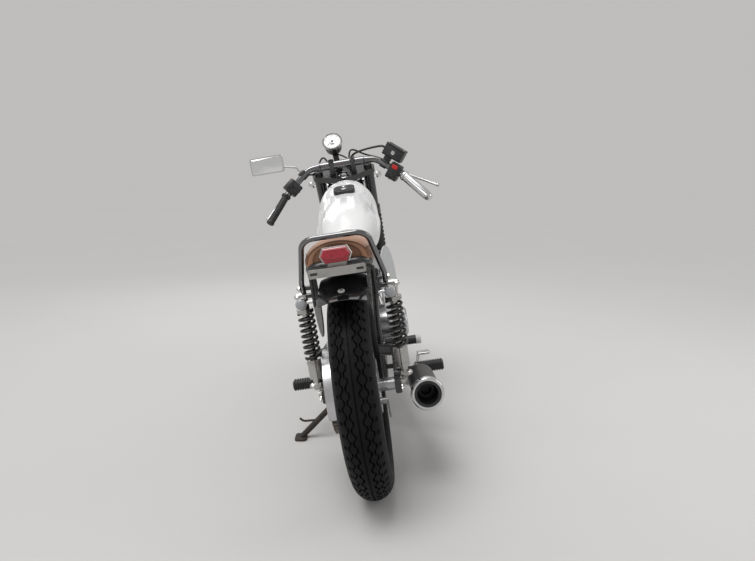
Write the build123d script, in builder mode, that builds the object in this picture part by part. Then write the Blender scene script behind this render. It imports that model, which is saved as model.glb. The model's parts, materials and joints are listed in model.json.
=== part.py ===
from build123d import *
from math import asin, atan2, cos, degrees, pi, radians, sin, sqrt
import os

os.makedirs("parts", exist_ok=True)

# A street tracker motorcycle with an air-cooled single-cylinder engine.
# It is drawn upright in millimetres, x forward, y to the rider's left, z up,
# with its origin where the rear tyre meets the ground, and parked at the end.

# Stance: wheelbase, steering geometry, and how it leans on its side stand
wheelbase = 1390.0
rake = 27.0
trail = 107.0
lean = 8.5
steer = 2.0
clearance = 0.3

# Wheels: outer radius, tyre width, radius where the bead sits
rear_radius = 336.0
rear_width = 122.0
rear_seat_radius = 228.6
rear_bead = 38.0
front_radius = 325.0
front_width = 92.0
front_seat_radius = 241.3
front_bead = 28.0
rim_lip = 11.0
rim_wall = 4.0
spoke_count = 36
spoke_radius = 1.8

# Rear hub, drum brake and final drive
axle_radius = 8.0
drum_radius = 84.0
drum_half = 42.0
brake_plate_thick = 12.0
carrier_radius = 52.0
chain_pitch = 15.875
chain_line = 88.0
rear_teeth = 48
front_teeth = 16
roller_radius = 5.1
sprocket_thick = 7.0
link_height = 14.0
output_height = 345.0
chain_links = 108

# Swingarm and its pivot in the frame
pivot_x = 505.0
pivot_z = 328.0
arm_line = 113.0
arm_width = 20.0
arm_height = 42.0
pivot_tube_radius = 20.0
pivot_half = 44.0

# Frame tubes
cradle_half = 62.0
cradle_radius = 12.7
rail_half = 98.0
backbone_radius = 24.0
head_tube_radius = 29.0
head_low = 578.0
head_high = 736.0

# Fork, measured along the steering axis from the height of the front axle
fork_half = 112.0
stanchion_radius = 18.0
slider_radius = 27.0
slider_top = 335.0
gaiter_top = 520.0
gaiter_radius = 31.0
lower_clamp = 528.0
clamp_thick = 36.0
upper_clamp = 744.0
upper_clamp_thick = 26.0
fork_end = 782.0

# Handlebar
bar_radius = 11.0
bar_forward = 28.0
bar_height = 811.0

# Engine
crank_x = 780.0
crank_z = 345.0
gearbox_half = 46.0
case_half = 72.0
barrel_lean = 4.0
barrel_base = 452.0
barrel_x = 800.0
barrel_height = 112.0
fin_thick = 3.0
fin_step = 12.0
head_height = 112.0

# Shock absorbers
shock_line = 137.0
shock_low = (28.0, 356.0)
shock_high = (20.0, 645.0)
spring_radius = 27.0
spring_wire = 4.5

# Seat, hoop and tail
seat_half = 98.0
pan_thick = 6.0
fender_radius = 430.0
fender_centre = (-90.0, 296.0)
fender_half = 67.0
fender_thick = 2.5
hoop_radius = 8.0

pan_z = 715.2
tail_loop = (-150.0, 80.0, 752.0)

# Side stand: pivot on the frame, and where its foot meets the ground
stand_pivot = (425.0, 86.0, 192.0)
stand_foot = (385.0, 288.0)
stand_radius = 11.0
stand_boss = 9.0
stand_eye = 17.0
stand_cheek = 8.0


def vec(x, y, z):
    return Vector(x, y, z)


# Steering axis: its foot is where the line square to it passes the front axle
axis_up = vec(-sin(radians(rake)), 0, cos(radians(rake)))
axis_ahead = vec(cos(radians(rake)), 0, sin(radians(rake)))
fork_offset = front_radius * sin(radians(rake)) - trail * cos(radians(rake))
front_axle_point = vec(wheelbase, 0, front_radius)
axis_foot = front_axle_point - axis_ahead * fork_offset
straight = Plane(origin=axis_foot, x_dir=axis_ahead, z_dir=axis_up)
steered_ahead = axis_ahead * cos(radians(steer)) + straight.y_dir * sin(radians(steer))
fork = Plane(origin=axis_foot, x_dir=steered_ahead, z_dir=axis_up)


def on_fork(x, y, h):
    return fork.from_local_coords(vec(x, y, h))


# Wheel planes: local x along the axle to the left, local y outward from it
rear_hub = Plane(origin=(0, 0, rear_radius), x_dir=(0, 1, 0), z_dir=(1, 0, 0))
front_hub = Plane(origin=on_fork(fork_offset, 0, 0), x_dir=fork.y_dir, z_dir=fork.x_dir)


# Ground: the plane that both tyres touch when the machine leans
def drop(centre, axle, radius, width, up):
    tread = width / 2
    across = up.cross(axle).length
    return centre.dot(up) - (radius - tread) * across - tread


def ground_normal(pitch):
    level = cos(radians(pitch))
    return vec(sin(radians(pitch)), -sin(radians(lean)) * level, cos(radians(lean)) * level)


pitch = 0.0
for step in range(6):
    up = ground_normal(pitch)
    rear_drop = drop(rear_hub.origin, rear_hub.x_dir, rear_radius, rear_width, up)
    front_drop = drop(front_hub.origin, front_hub.x_dir, front_radius, front_width, up)
    pitch -= degrees(asin((front_drop - rear_drop) / wheelbase))
up = ground_normal(pitch)
rear_drop = drop(rear_hub.origin, rear_hub.x_dir, rear_radius, rear_width, up)
along = (vec(1, 0, 0) - up * up.X).normalized()
ground = Plane(origin=up * rear_drop, x_dir=along, z_dir=up)


def path_length(start, end):
    return (end - start).length


def rod_plane(start, end):
    return Plane(origin=start, z_dir=end - start)


# Chain run: pitch circles, centre distance that takes a whole number of links
rear_pitch_radius = chain_pitch / 2 / sin(pi / rear_teeth)
front_pitch_radius = chain_pitch / 2 / sin(pi / front_teeth)
run_links = chain_links - (rear_teeth + front_teeth) / 2
wrap_links = ((rear_teeth - front_teeth) / 2 / pi) ** 2
chain_centres = chain_pitch * (run_links + sqrt(run_links ** 2 - 8 * wrap_links)) / 4
output_rise = output_height - rear_radius
output_x = sqrt(chain_centres ** 2 - output_rise ** 2)
chain_tilt = degrees(atan2(output_rise, output_x))

pieces = {}


def keep(name, builder):
    pieces[name] = builder


# Tyres: a closed ring from the bead seat to the tread
def make_tyre(hub, radius, width, seat_radius, bead):
    crown = radius - width / 2
    lip = seat_radius + rim_lip
    with BuildPart() as tyre:
        with BuildSketch(hub):
            with BuildLine():
                top = ThreePointArc((-width / 2, crown), (0, radius), (width / 2, crown))
                flank = ((width / 2 + bead) / 2 + 5, (crown + lip) / 2 - 3)
                ThreePointArc(top @ 1, flank, (bead, lip))
                Line((bead, lip), (bead, seat_radius))
                Line((bead, seat_radius), (-bead, seat_radius))
                Line((-bead, seat_radius), (-bead, lip))
                ThreePointArc((-bead, lip), (-flank[0], flank[1]), top @ 0)
            make_face()
        revolve(axis=Axis(hub.origin, hub.x_dir))
    return tyre


rear_tyre = make_tyre(rear_hub, rear_radius, rear_width, rear_seat_radius, rear_bead)
keep("rear_tyre", rear_tyre)
front_tyre = make_tyre(front_hub, front_radius, front_width, front_seat_radius, front_bead)
keep("front_tyre", front_tyre)


# Laced wheels: alloy rim, spokes and hub in one
def make_wheel(hub, seat_radius, bead, hub_sections, flanges, spoke_sweep):
    # hub_sections: offset along the axle, radius of the turned hub up to the next row
    # flanges: offset along the axle, radius where the spokes hook in
    bed = seat_radius - clearance
    edge = bead + rim_wall
    lip = seat_radius + rim_lip
    with BuildPart() as wheel:
        with BuildSketch(hub):
            with BuildLine():
                Polyline(
                    (-edge, lip), (-bead - clearance, lip), (-bead - clearance, bed), (-bead / 2, bed - 2),
                    (-bead / 3, bed - 13), (bead / 3, bed - 13), (bead / 2, bed - 2),
                    (bead + clearance, bed), (bead + clearance, lip), (edge, lip),
                    (edge, bed - 3), (bead / 2 + 3, bed - 7), (bead / 3 + 3, bed - 18),
                    (-bead / 3 - 3, bed - 18), (-bead / 2 - 3, bed - 7), (-edge, bed - 3), close=True)
            make_face()
        revolve(axis=Axis(hub.origin, hub.x_dir))
        with BuildSketch(hub):
            with BuildLine():
                points = [(hub_sections[0][0], axle_radius + clearance)]
                for (offset, radius), (following, _) in zip(hub_sections, hub_sections[1:]):
                    points += [(offset, radius), (following, radius)]
                points.append((hub_sections[-1][0], axle_radius + clearance))
                Polyline(*points, close=True)
            make_face()
        revolve(axis=Axis(hub.origin, hub.x_dir))
        for offset, hook in flanges:
            spoke_planes = []
            for index in range(spoke_count // 2):
                rim_angle = radians(720 / spoke_count * (index + (0.25 if offset > 0 else 0.75)))
                hub_angle = rim_angle + (-1) ** index * spoke_sweep
                reach = hook - 4
                inner = hub.from_local_coords(vec(offset, reach * cos(hub_angle), reach * sin(hub_angle)))
                outer = hub.from_local_coords(
                    vec(offset * 0.12, (bed - 16) * cos(rim_angle), (bed - 16) * sin(rim_angle)))
                spoke_planes.append(rod_plane(inner, outer))
            with BuildSketch(*spoke_planes):
                RegularPolygon(spoke_radius, 6)
            extrude(amount=path_length(inner, outer))
    return wheel


rear_wheel = make_wheel(
    rear_hub, rear_seat_radius, rear_bead,
    [(-drum_half, drum_radius), (-drum_half + 30, 62), (24, 46), (30, 62), (42, carrier_radius),
     (chain_line - sprocket_thick / 2, carrier_radius)],
    [(-drum_half + 5, drum_radius), (33, 62)], radians(36))
keep("rear_wheel", rear_wheel)
front_wheel = make_wheel(
    front_hub, front_seat_radius, front_bead,
    [(-34, 34), (-26, 22), (26, 34), (34, 30), (52, 30)],
    [(-30, 34), (30, 34)], radians(60))
keep("front_wheel", front_wheel)


def on_hub(hub, left):
    # A plane square to the axle, x ahead and y up, that extrudes to the right
    return Plane(origin=hub.from_local_coords(vec(left, 0, 0)), x_dir=hub.z_dir, z_dir=-hub.x_dir)


def at_side(left):
    # The same for the fixed pieces: x ahead, y up, extruding to the right
    return Plane.XZ.offset(-left)


# Rear sprocket: round-rooted teeth, their tips inside the chain's rollers
with BuildPart() as sprocket:
    with BuildSketch(on_hub(rear_hub, chain_line + sprocket_thick / 2)):
        Circle(rear_pitch_radius - roller_radius - clearance)
        with PolarLocations(rear_pitch_radius - 4, rear_teeth):
            Circle(roller_radius, mode=Mode.SUBTRACT)
        Circle(axle_radius + clearance, mode=Mode.SUBTRACT)
        with PolarLocations(80, 6):
            Circle(16, mode=Mode.SUBTRACT)
    extrude(amount=sprocket_thick)
keep("sprocket", sprocket)

# Front brake disc, drilled and carried on the left of the hub
disc_line = 57.0
with BuildPart() as brake_disc:
    with BuildSketch(on_hub(front_hub, disc_line)):
        Circle(134)
        Circle(98, mode=Mode.SUBTRACT)
    extrude(amount=5 - clearance)
    with BuildSketch(on_hub(front_hub, disc_line)):
        Circle(46)
        with PolarLocations(72, 5):
            Rectangle(64, 22)
        Circle(axle_radius + clearance, mode=Mode.SUBTRACT)
    extrude(amount=5 - clearance)
keep("brake_disc", brake_disc)

# Axles: the bolt, a nut at each end, and the spacers between hub and carrier
rear_axle_half = arm_line + arm_width / 2 + clearance
with BuildPart() as rear_axle:
    with BuildSketch(on_hub(rear_hub, rear_axle_half + 12)):
        Circle(axle_radius)
    extrude(amount=2 * rear_axle_half + 24)
    for left in (rear_axle_half + 9, -rear_axle_half):
        with BuildSketch(on_hub(rear_hub, left)):
            RegularPolygon(13, 6)
        extrude(amount=9)
    spacer_left = arm_line - arm_width / 2 - clearance
    with BuildSketch(on_hub(rear_hub, spacer_left)):
        Circle(14)
    extrude(amount=spacer_left - chain_line - sprocket_thick / 2 - clearance)
keep("rear_axle", rear_axle)

with BuildPart() as front_axle:
    with BuildSketch(on_hub(front_hub, fork_half + slider_radius + 12)):
        Circle(axle_radius)
    extrude(amount=2 * (fork_half + slider_radius) + 24)
    for left in (fork_half + slider_radius + 7 + clearance, -fork_half - slider_radius - clearance):
        with BuildSketch(on_hub(front_hub, left)):
            RegularPolygon(13, 6)
        extrude(amount=7)
    for left, right in ((fork_half - slider_radius, disc_line), (-34, -fork_half + slider_radius)):
        with BuildSketch(on_hub(front_hub, left - clearance)):
            Circle(13)
        extrude(amount=left - right - 2 * clearance)
keep("front_axle", front_axle)

# Drum brake plate on the right with its cam lever
plate_left = -drum_half - clearance
with BuildPart() as brake_plate:
    with BuildSketch(on_hub(rear_hub, plate_left)):
        Circle(drum_radius)
    extrude(amount=brake_plate_thick)
    with BuildSketch(on_hub(rear_hub, plate_left)):
        Circle(20)
    extrude(amount=arm_line - arm_width / 2 - clearance + plate_left)
    with BuildSketch(on_hub(rear_hub, plate_left - brake_plate_thick)):
        with Locations((-52, -32)):
            Circle(11)
    extrude(amount=18)
    with BuildSketch(on_hub(rear_hub, plate_left - brake_plate_thick - 18)):
        with BuildLine():
            Polyline((-62, -28), (-44, -38), (-2, -98), (-12, -104), close=True)
        make_face()
    extrude(amount=6)
    with BuildSketch(on_hub(rear_hub, plate_left)):
        Circle(axle_radius + clearance)
    extrude(amount=120, mode=Mode.SUBTRACT)
keep("brake_plate", brake_plate)

# Swingarm: a pivot tube and two arms that widen round the tyre, slotted for the axle
with BuildPart() as swingarm:
    with BuildSketch(at_side(pivot_half)):
        with Locations((pivot_x, pivot_z)):
            Circle(pivot_tube_radius)
    extrude(amount=2 * pivot_half)
    for side in (-1, 1):
        arm_start = vec(pivot_x, side * (pivot_half - arm_width / 2 - 2), pivot_z)
        with BuildLine():
            arm_path = FilletPolyline(
                arm_start, (450, side * 33, pivot_z), (392, side * arm_line, pivot_z + 2),
                (-38, side * arm_line, rear_radius), radius=16)
        with BuildSketch(Plane(origin=arm_start, x_dir=(0, 1, 0), z_dir=arm_path % 0)):
            RectangleRounded(arm_width, arm_height, 6)
        sweep(path=arm_path)
        outer_face = side * (arm_line + arm_width / 2)
        with BuildSketch(at_side(outer_face)):
            with Locations(shock_low):
                Circle(16)
        extrude(amount=side * (arm_width - 2))
        with BuildSketch(at_side(side * (shock_line + 16))):
            with Locations(shock_low):
                Circle(axle_radius)
        extrude(amount=side * 36)
        with BuildSketch(at_side(outer_face + side * 2)):
            with Locations((-4, rear_radius)):
                SlotOverall(46, 2 * axle_radius + 2 * clearance)
        extrude(amount=side * (arm_width + 4), mode=Mode.SUBTRACT)
    with BuildSketch(at_side(pivot_half)):
        with Locations((pivot_x, pivot_z)):
            Circle(axle_radius)
    extrude(amount=2 * pivot_half, mode=Mode.SUBTRACT)
keep("swingarm", swingarm)

# Side stand geometry: its leg swings about a slanted hinge, from folded back
# along the machine to out and down, where the weight presses it on its stop
foot_point = ground.from_local_coords(vec(stand_foot[0], stand_foot[1], 0))
pivot_point = vec(*stand_pivot)
leg_down = (foot_point - pivot_point).normalized()
leg_back = vec(-1, 0.07, -0.03).normalized()
spread = leg_down - leg_back
hinge = vec(-0.3, 1, (0.3 * spread.X - spread.Y) / spread.Z).normalized()

# Frame: steering head, backbone, and one bent tube each side from the head
# down round the engine, up behind it and back under the seat to the tail loop
backbone_start = straight.from_local_coords(vec(0, 0, head_high - 60))
backbone_end = vec(452, 0, 706)
hoop_end = vec(-58, 122, 682)
with BuildPart() as frame:
    with BuildSketch(straight.offset(head_low)):
        Circle(head_tube_radius)
    extrude(amount=head_high - head_low)
    with BuildSketch(rod_plane(backbone_start, backbone_end)):
        Circle(backbone_radius)
    extrude(amount=path_length(backbone_start, backbone_end))
    for side in (-1, 1):
        with BuildLine():
            tube_path = FilletPolyline(
                (1045, side * 14, 868), (1003, side * cradle_half, 520), (965, side * cradle_half, 190),
                (500, side * cradle_half, 190), (496, side * cradle_half, 420), (462, side * 84, 702),
                (20, side * rail_half, 702), (tail_loop[0], side * tail_loop[1], tail_loop[2]),
                (tail_loop[0] - 4, 0, tail_loop[2] + 1), radius=34)
        with BuildSketch(Plane(origin=tube_path @ 0, z_dir=tube_path % 0)):
            Circle(cradle_radius)
        sweep(path=tube_path)
        # Plate round the swingarm bolt
        with BuildSketch(at_side(side * (pivot_half + clearance))):
            with Locations((pivot_x + 10, pivot_z)):
                RectangleRounded(60, 100, 14)
        extrude(amount=-side * 12)
        # Lug and pin of the shock absorber
        with BuildSketch(at_side(side * (rail_half - 6))):
            with BuildLine():
                Polyline((-14, 700), (54, 700), (shock_high[0] + 16, shock_high[1] - 14),
                         (shock_high[0] - 16, shock_high[1] - 14), close=True)
            make_face()
        extrude(amount=-side * 12)
        with BuildSketch(at_side(side * (rail_half - 2))):
            with Locations(shock_high):
                Circle(axle_radius)
        extrude(amount=-side * (shock_line + 16 - rail_half + 2))
        # Lug that carries the hoop's end and the turn signal
        with BuildSketch(at_side(side * (rail_half - 8))):
            with BuildLine():
                Polyline((-88, 722), (-40, 722), (-46, 668), (-56, 628), (-86, 628), close=True)
            make_face()
        extrude(amount=-side * 6)
        with BuildSketch(at_side(side * (rail_half - 8))):
            with Locations((hoop_end.X, hoop_end.Z)):
                Circle(7)
        extrude(amount=-side * (hoop_end.Y - hoop_radius - clearance - rail_half + 8))
    for x, z, half in ((965, 196, cradle_half), (560, 190, cradle_half), (466, 700, 84), (500, 232, cradle_half)):
        with BuildSketch(at_side(half)):
            with Locations((x, z)):
                Circle(cradle_radius - 1)
        extrude(amount=2 * half)
    # Bracket and pin of the side stand
    with BuildSketch(Plane(origin=pivot_point - hinge * (stand_boss + clearance + stand_cheek), z_dir=hinge)):
        Circle(stand_eye)
    extrude(amount=stand_cheek)
    with BuildSketch(Plane(origin=pivot_point - hinge * (stand_boss + clearance + stand_cheek), z_dir=hinge)):
        Circle(axle_radius)
    extrude(amount=2 * stand_boss + stand_cheek + 6)
    inner_face = pivot_point - hinge * (stand_boss + clearance + stand_cheek / 2 + 1)
    rail_point = vec(520, cradle_half, 190)
    with BuildSketch(Plane(origin=inner_face, x_dir=hinge, z_dir=rail_point - inner_face)):
        RectangleRounded(stand_cheek - 2, 20, 2)
    extrude(amount=path_length(inner_face, rail_point))
    with BuildSketch(straight.offset(head_low)):
        Circle(17)
    extrude(amount=head_high - head_low, mode=Mode.SUBTRACT)
    with BuildSketch(at_side(120)):
        with Locations((pivot_x, pivot_z)):
            Circle(axle_radius)
    extrude(amount=240, mode=Mode.SUBTRACT)
keep("frame", frame)

# Swingarm bolt, and the round sliders that stand out on each end of it
slider_end = 217.0
with BuildPart() as pivot_bolt:
    with BuildSketch(at_side(cradle_half + 18)):
        with Locations((pivot_x, pivot_z)):
            Circle(axle_radius - clearance)
    extrude(amount=2 * cradle_half + 36)
keep("pivot_bolt", pivot_bolt)

with BuildPart() as crash_sliders:
    for side in (-1, 1):
        with BuildSketch(at_side(side * (cradle_half + 18 + clearance))):
            with Locations((pivot_x, pivot_z)):
                Circle(17)
        extrude(amount=-side * (slider_end - cradle_half - 18 - clearance))
    chamfer(edges().filter_by(GeomType.CIRCLE).group_by(Axis.Y)[0], 4)
    chamfer(edges().filter_by(GeomType.CIRCLE).group_by(Axis.Y)[-1], 4)
keep("crash_sliders", crash_sliders)

# Crankcase with gearbox, a rounded casting between the frame tubes, whose top
# face is the deck that the cylinder stands on
deck = Plane(
    origin=(barrel_x, 0, barrel_base),
    x_dir=(cos(radians(barrel_lean)), 0, -sin(radians(barrel_lean))),
    z_dir=(sin(radians(barrel_lean)), 0, cos(radians(barrel_lean))))
deck_front = deck.from_local_coords(vec(68, 0, 0))
deck_rear = deck.from_local_coords(vec(-84, 0, 0))
with BuildPart() as crankcase:
    with BuildSketch(at_side(gearbox_half)):
        with BuildLine():
            Polyline(
                (545, 262), (590, 222), (900, 216), (930, 262), (925, 380), (900, 430),
                (deck_front.X, deck_front.Z), (deck_rear.X, deck_rear.Z), (690, 432), (580, 432), (545, 400),
                close=True)
        make_face()
    extrude(amount=2 * gearbox_half)
    with BuildSketch(at_side(case_half)):
        with BuildLine():
            Polyline(
                (624, 250), (655, 226), (880, 222), (915, 262), (912, 380), (890, 432),
                (deck_front.X, deck_front.Z), (deck_rear.X, deck_rear.Z), (690, 432), (636, 425), (624, 405),
                close=True)
        make_face()
    extrude(amount=2 * case_half)
    fillet(edges().filter_by(Axis.Y).filter_by(lambda e: e.center().Z < 425), 12)
keep("crankcase", crankcase)

# Polished side covers: clutch and timing on the right, generator on the left
with BuildPart() as engine_covers:
    with BuildSketch(at_side(-case_half - clearance)):
        with Locations((660, 362)):
            Circle(88)
        with Locations((crank_x + 25, crank_z - 8)):
            Circle(84)
        make_hull()
    extrude(amount=64)
    fillet(faces().sort_by(Axis.Y)[0].edges(), 14)
    with BuildSketch(at_side(-136)):
        with Locations((676, 366)):
            Circle(64)
    extrude(amount=46, taper=12)
    fillet(faces().sort_by(Axis.Y)[0].edges(), 10)
    with BuildSketch(at_side(case_half + clearance)):
        with Locations((crank_x + 15, crank_z)):
            Circle(84)
        with Locations((crank_x - 50, crank_z + 6)):
            Circle(62)
        make_hull()
    extrude(amount=-56)
    fillet(faces().sort_by(Axis.Y)[-1].edges(), 12)
keep("engine_covers", engine_covers)

# Cylinder and head with cooling fins, leaning a little ahead of upright
with BuildPart() as cylinder:
    with BuildSketch(deck.offset(clearance)):
        RectangleRounded(128, 128, 24)
    extrude(amount=barrel_height - 2 * clearance)
    for level in range(8):
        with BuildSketch(deck.offset(14 + level * fin_step)):
            RectangleRounded(150, 164, 20)
        extrude(amount=fin_thick)
keep("cylinder", cylinder)

with BuildPart() as cylinder_head:
    with BuildSketch(deck.offset(barrel_height)):
        RectangleRounded(132, 140, 24)
    extrude(amount=head_height - 26)
    for level in range(5):
        with BuildSketch(deck.offset(barrel_height + 4 + level * 13)):
            RectangleRounded(158, 186 - level * 6, 20)
        extrude(amount=fin_thick)
    with BuildSketch(deck.offset(barrel_height + head_height - 26)):
        RectangleRounded(140, 118, 30)
    extrude(amount=26)
    fillet(faces().sort_by(Axis.Z)[-1].edges(), 8)
    for end, y, height, radius in ((80, -10, 40, 23), (-80, 0, 34, 23)):
        face = deck.from_local_coords(vec(end * 0.75, y, barrel_height + height))
        with BuildSketch(Plane(origin=face, z_dir=deck.x_dir * end)):
            Circle(radius)
        extrude(amount=20 - clearance)
keep("cylinder_head", cylinder_head)

# Exhaust: header out of the head, under the right side, and a short open muffler
port = deck.from_local_coords(vec(80, -10, barrel_height + 40))
muffler_start = vec(300, -188, 262)
muffler_end = vec(0, -200, 285)
muffler_length = path_length(muffler_start, muffler_end)
muffler_ahead = (muffler_start - muffler_end).normalized()
with BuildPart() as exhaust_pipe:
    with BuildLine():
        pipe_path = FilletPolyline(
            port, port + deck.x_dir * 150, (1034, -60, 420), (995, -112, 196), (890, -128, 190),
            (436, -148, 188), muffler_start + muffler_ahead * 60, muffler_start + muffler_ahead * clearance,
            radius=44)
    with BuildSketch(Plane(origin=pipe_path @ 0, z_dir=pipe_path % 0)):
        Circle(20)
    sweep(path=pipe_path)
keep("exhaust_pipe", exhaust_pipe)

muffler_across = muffler_ahead.cross(vec(0, 0, 1)).normalized()
with BuildPart() as muffler:
    with BuildSketch(Plane(origin=muffler_start, x_dir=-muffler_ahead, z_dir=muffler_across)):
        with BuildLine():
            Polyline(
                (0, 0), (0, 24), (70, 46), (muffler_length - 4, 46), (muffler_length, 42),
                (muffler_length, 33.5), (muffler_length - 90, 33.5), (muffler_length - 90, 0), close=True)
        make_face()
    revolve(axis=Axis(muffler_start, -muffler_ahead))
keep("muffler", muffler)

# Carburettor and cone filter behind the head
inlet = deck.from_local_coords(vec(-80, 0, barrel_height + 34))
carburettor_length = 84.0
with BuildPart() as carburettor:
    with BuildSketch(Plane(origin=inlet, z_dir=deck.x_dir * -1)):
        Circle(23)
    extrude(amount=carburettor_length)
    with BuildSketch(Plane.XY.offset(inlet.Z - 62)):
        with Locations((inlet.X - 46, 0)):
            RectangleRounded(50, 56, 12)
    extrude(amount=110)
    with BuildSketch(Plane.XY.offset(inlet.Z + 30)):
        with Locations((inlet.X - 46, 0)):
            Circle(30)
    extrude(amount=26)
keep("carburettor", carburettor)

with BuildPart() as air_filter:
    with BuildSketch(Plane(origin=inlet - deck.x_dir * (carburettor_length + clearance), z_dir=deck.x_dir * -1)):
        Circle(44)
    extrude(amount=104, taper=5)
keep("air_filter", air_filter)

with BuildPart() as electrics_box:
    with BuildSketch(Plane.XY.offset(590)):
        with Locations((380, 0)):
            RectangleRounded(110, 110, 8)
    extrude(amount=pan_z - 590 - clearance)
keep("electrics_box", electrics_box)

# Fuel tank: rows of x, half widths at shoulder, belt and floor, heights of
# floor, belt, shoulder and crown
tank_rows = [
    (432, 46, 72, 58, 718, 748, 784, 796),
    (560, 70, 112, 96, 702, 768, 836, 853),
    (690, 80, 127, 108, 708, 795, 872, 893),
    (810, 76, 120, 98, 738, 828, 908, 930),
    (905, 54, 88, 72, 790, 876, 942, 960),
    (955, 26, 44, 36, 850, 896, 938, 950),
]
with BuildPart() as fuel_tank:
    for x, half_top, half_belt, half_low, low, belt, shoulder, crown in tank_rows:
        with BuildSketch(Plane.YZ.offset(x)):
            with BuildLine():
                ThreePointArc((-half_top, shoulder), (0, crown), (half_top, shoulder))
                ThreePointArc((half_top, shoulder), (half_belt, belt), (half_low, low))
                Line((half_low, low), (-half_low, low))
                ThreePointArc((-half_low, low), (-half_belt, belt), (-half_top, shoulder))
            make_face()
    loft()
    tunnel = Plane(origin=backbone_start, x_dir=(0, 1, 0), z_dir=backbone_end - backbone_start)
    with BuildSketch(tunnel):
        Circle(backbone_radius + 8)
        with Locations((0, 80 if tunnel.y_dir.Z < 0 else -80)):
            Rectangle(2 * backbone_radius + 16, 160)
    extrude(amount=path_length(backbone_start, backbone_end) + 60, mode=Mode.SUBTRACT)
keep("fuel_tank", fuel_tank)

cap_plane = Plane(origin=(800, 0, 926), x_dir=(cos(radians(17)), 0, sin(radians(17))),
                  z_dir=(-sin(radians(17)), 0, cos(radians(17))))
with BuildPart() as filler_cap:
    with BuildSketch(cap_plane.offset(-12)):
        RectangleRounded(76, 88, 22)
    extrude(amount=24)
    fillet(faces().sort_by(Axis.Z)[-1].edges(), 4)
    add(fuel_tank.part, mode=Mode.SUBTRACT)
keep("filler_cap", filler_cap)

# Seat: a pan on the rails and the cushion with its hump
pan_bend = 22.0
pan_tail = (-146.0, 765.0)
with BuildPart() as seat_pan:
    with BuildSketch(at_side(seat_half - 4)):
        with BuildLine():
            Polyline(
                (428, pan_z), (pan_bend, pan_z), pan_tail, (pan_tail[0] + 2, pan_tail[1] + pan_thick),
                (pan_bend + 1, pan_z + pan_thick), (428, pan_z + pan_thick), close=True)
        make_face()
    extrude(amount=2 * (seat_half - 4))
    with BuildSketch(Plane.XY.offset(600)):
        with BuildLine():
            Polyline((428, -62), (428, 62), (250, 84), (20, 94), (-150, 84), (-150, -84), (20, -94),
                     (250, -84), close=True)
        make_face()
    extrude(amount=300, mode=Mode.INTERSECT)
keep("seat_pan", seat_pan)

seat_low = pan_z + pan_thick + clearance
with BuildPart() as seat:
    with BuildSketch(at_side(seat_half)):
        with BuildLine():
            base = Polyline((426, seat_low), (pan_bend, seat_low), (pan_tail[0] + 4, pan_tail[1] + pan_thick + 1.5))
            rear = Polyline(base @ 1, (-148, 800), (-136, 836))
            crest = ThreePointArc(rear @ 1, (-96, 842), (-40, 832))
            dip = ThreePointArc(crest @ 1, (200, 788), (418, 790))
            Line(dip @ 1, base @ 0)
        make_face()
    extrude(amount=2 * seat_half)
    with BuildSketch(Plane.XY.offset(600)):
        with BuildLine():
            Polyline((428, -66), (428, 66), (250, 92), (20, 98), (-100, 96), (-150, 78), (-150, -78),
                     (-100, -96), (20, -98), (250, -92), close=True)
        make_face()
    extrude(amount=300, mode=Mode.INTERSECT)
keep("seat", seat)

# Chromed hoop round the seat's hump, bolted low on each side
with BuildPart() as grab_hoop:
    with BuildLine():
        hoop_path = FilletPolyline(
            (hoop_end.X + 8, hoop_end.Y, hoop_end.Z - 16), (hoop_end.X - 8, hoop_end.Y, hoop_end.Z + 16),
            (-160, 90, 832), (-160, -90, 832), (hoop_end.X - 8, -hoop_end.Y, hoop_end.Z + 16),
            (hoop_end.X + 8, -hoop_end.Y, hoop_end.Z - 16), radius=40)
    with BuildSketch(Plane(origin=hoop_path @ 0, z_dir=hoop_path % 0)):
        Circle(hoop_radius)
    sweep(path=hoop_path)
keep("grab_hoop", grab_hoop)

# Short rear fender on an arc of its own, hung under the tail loop
fender_ahead = 26.0
fender_behind = 24.0
fender_middle = vec(fender_centre[0], 0, fender_centre[1])
with BuildPart() as rear_fender:
    start_plane = Plane(
        origin=fender_middle, x_dir=(0, 1, 0),
        z_dir=(cos(radians(fender_ahead)), 0, -sin(radians(fender_ahead))))
    with BuildSketch(start_plane):
        with BuildLine():
            over = ThreePointArc(
                (-fender_half, fender_radius - 16), (0, fender_radius), (fender_half, fender_radius - 16))
            under = ThreePointArc(
                (-fender_half + 2, fender_radius - 18), (0, fender_radius - fender_thick),
                (fender_half - 2, fender_radius - 18))
            Line(over @ 0, under @ 0)
            Line(over @ 1, under @ 1)
        make_face()
    revolve(axis=Axis(fender_middle, (0, -1, 0)), revolution_arc=fender_ahead + fender_behind)
    hang_x = tail_loop[0] - 2
    hang_z = fender_centre[1] + sqrt(fender_radius ** 2 - (hang_x - fender_centre[0]) ** 2) - 1
    with BuildSketch(Plane.XY.offset(hang_z)):
        with Locations((hang_x, 0)):
            Circle(8)
    extrude(amount=tail_loop[2] - cradle_radius - clearance - hang_z)
keep("rear_fender", rear_fender)

# Tail light on a sheet neck, over a slotted plate bracket
with BuildPart() as plate_bracket:
    with BuildSketch(at_side(26)):
        with BuildLine():
            Polyline((-167, 753), (-195, 760), (-238, 760), (-238, 726), (-241, 726), (-241, 763),
                     (-193, 763), (-193, 806), (-190, 806), (-190, 765), (-167, 756), close=True)
        make_face()
    extrude(amount=52)
    with BuildSketch(Plane(origin=(-241, 0, 745), x_dir=(0, 1, 0), z_dir=(1, 0, 0))):
        RectangleRounded(152, 34, 6)
        with Locations((-62, 0), (62, 0)):
            SlotOverall(20, 7, mode=Mode.SUBTRACT)
        Rectangle(76, 16, mode=Mode.SUBTRACT)
    extrude(amount=3)
keep("plate_bracket", plate_bracket)

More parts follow.
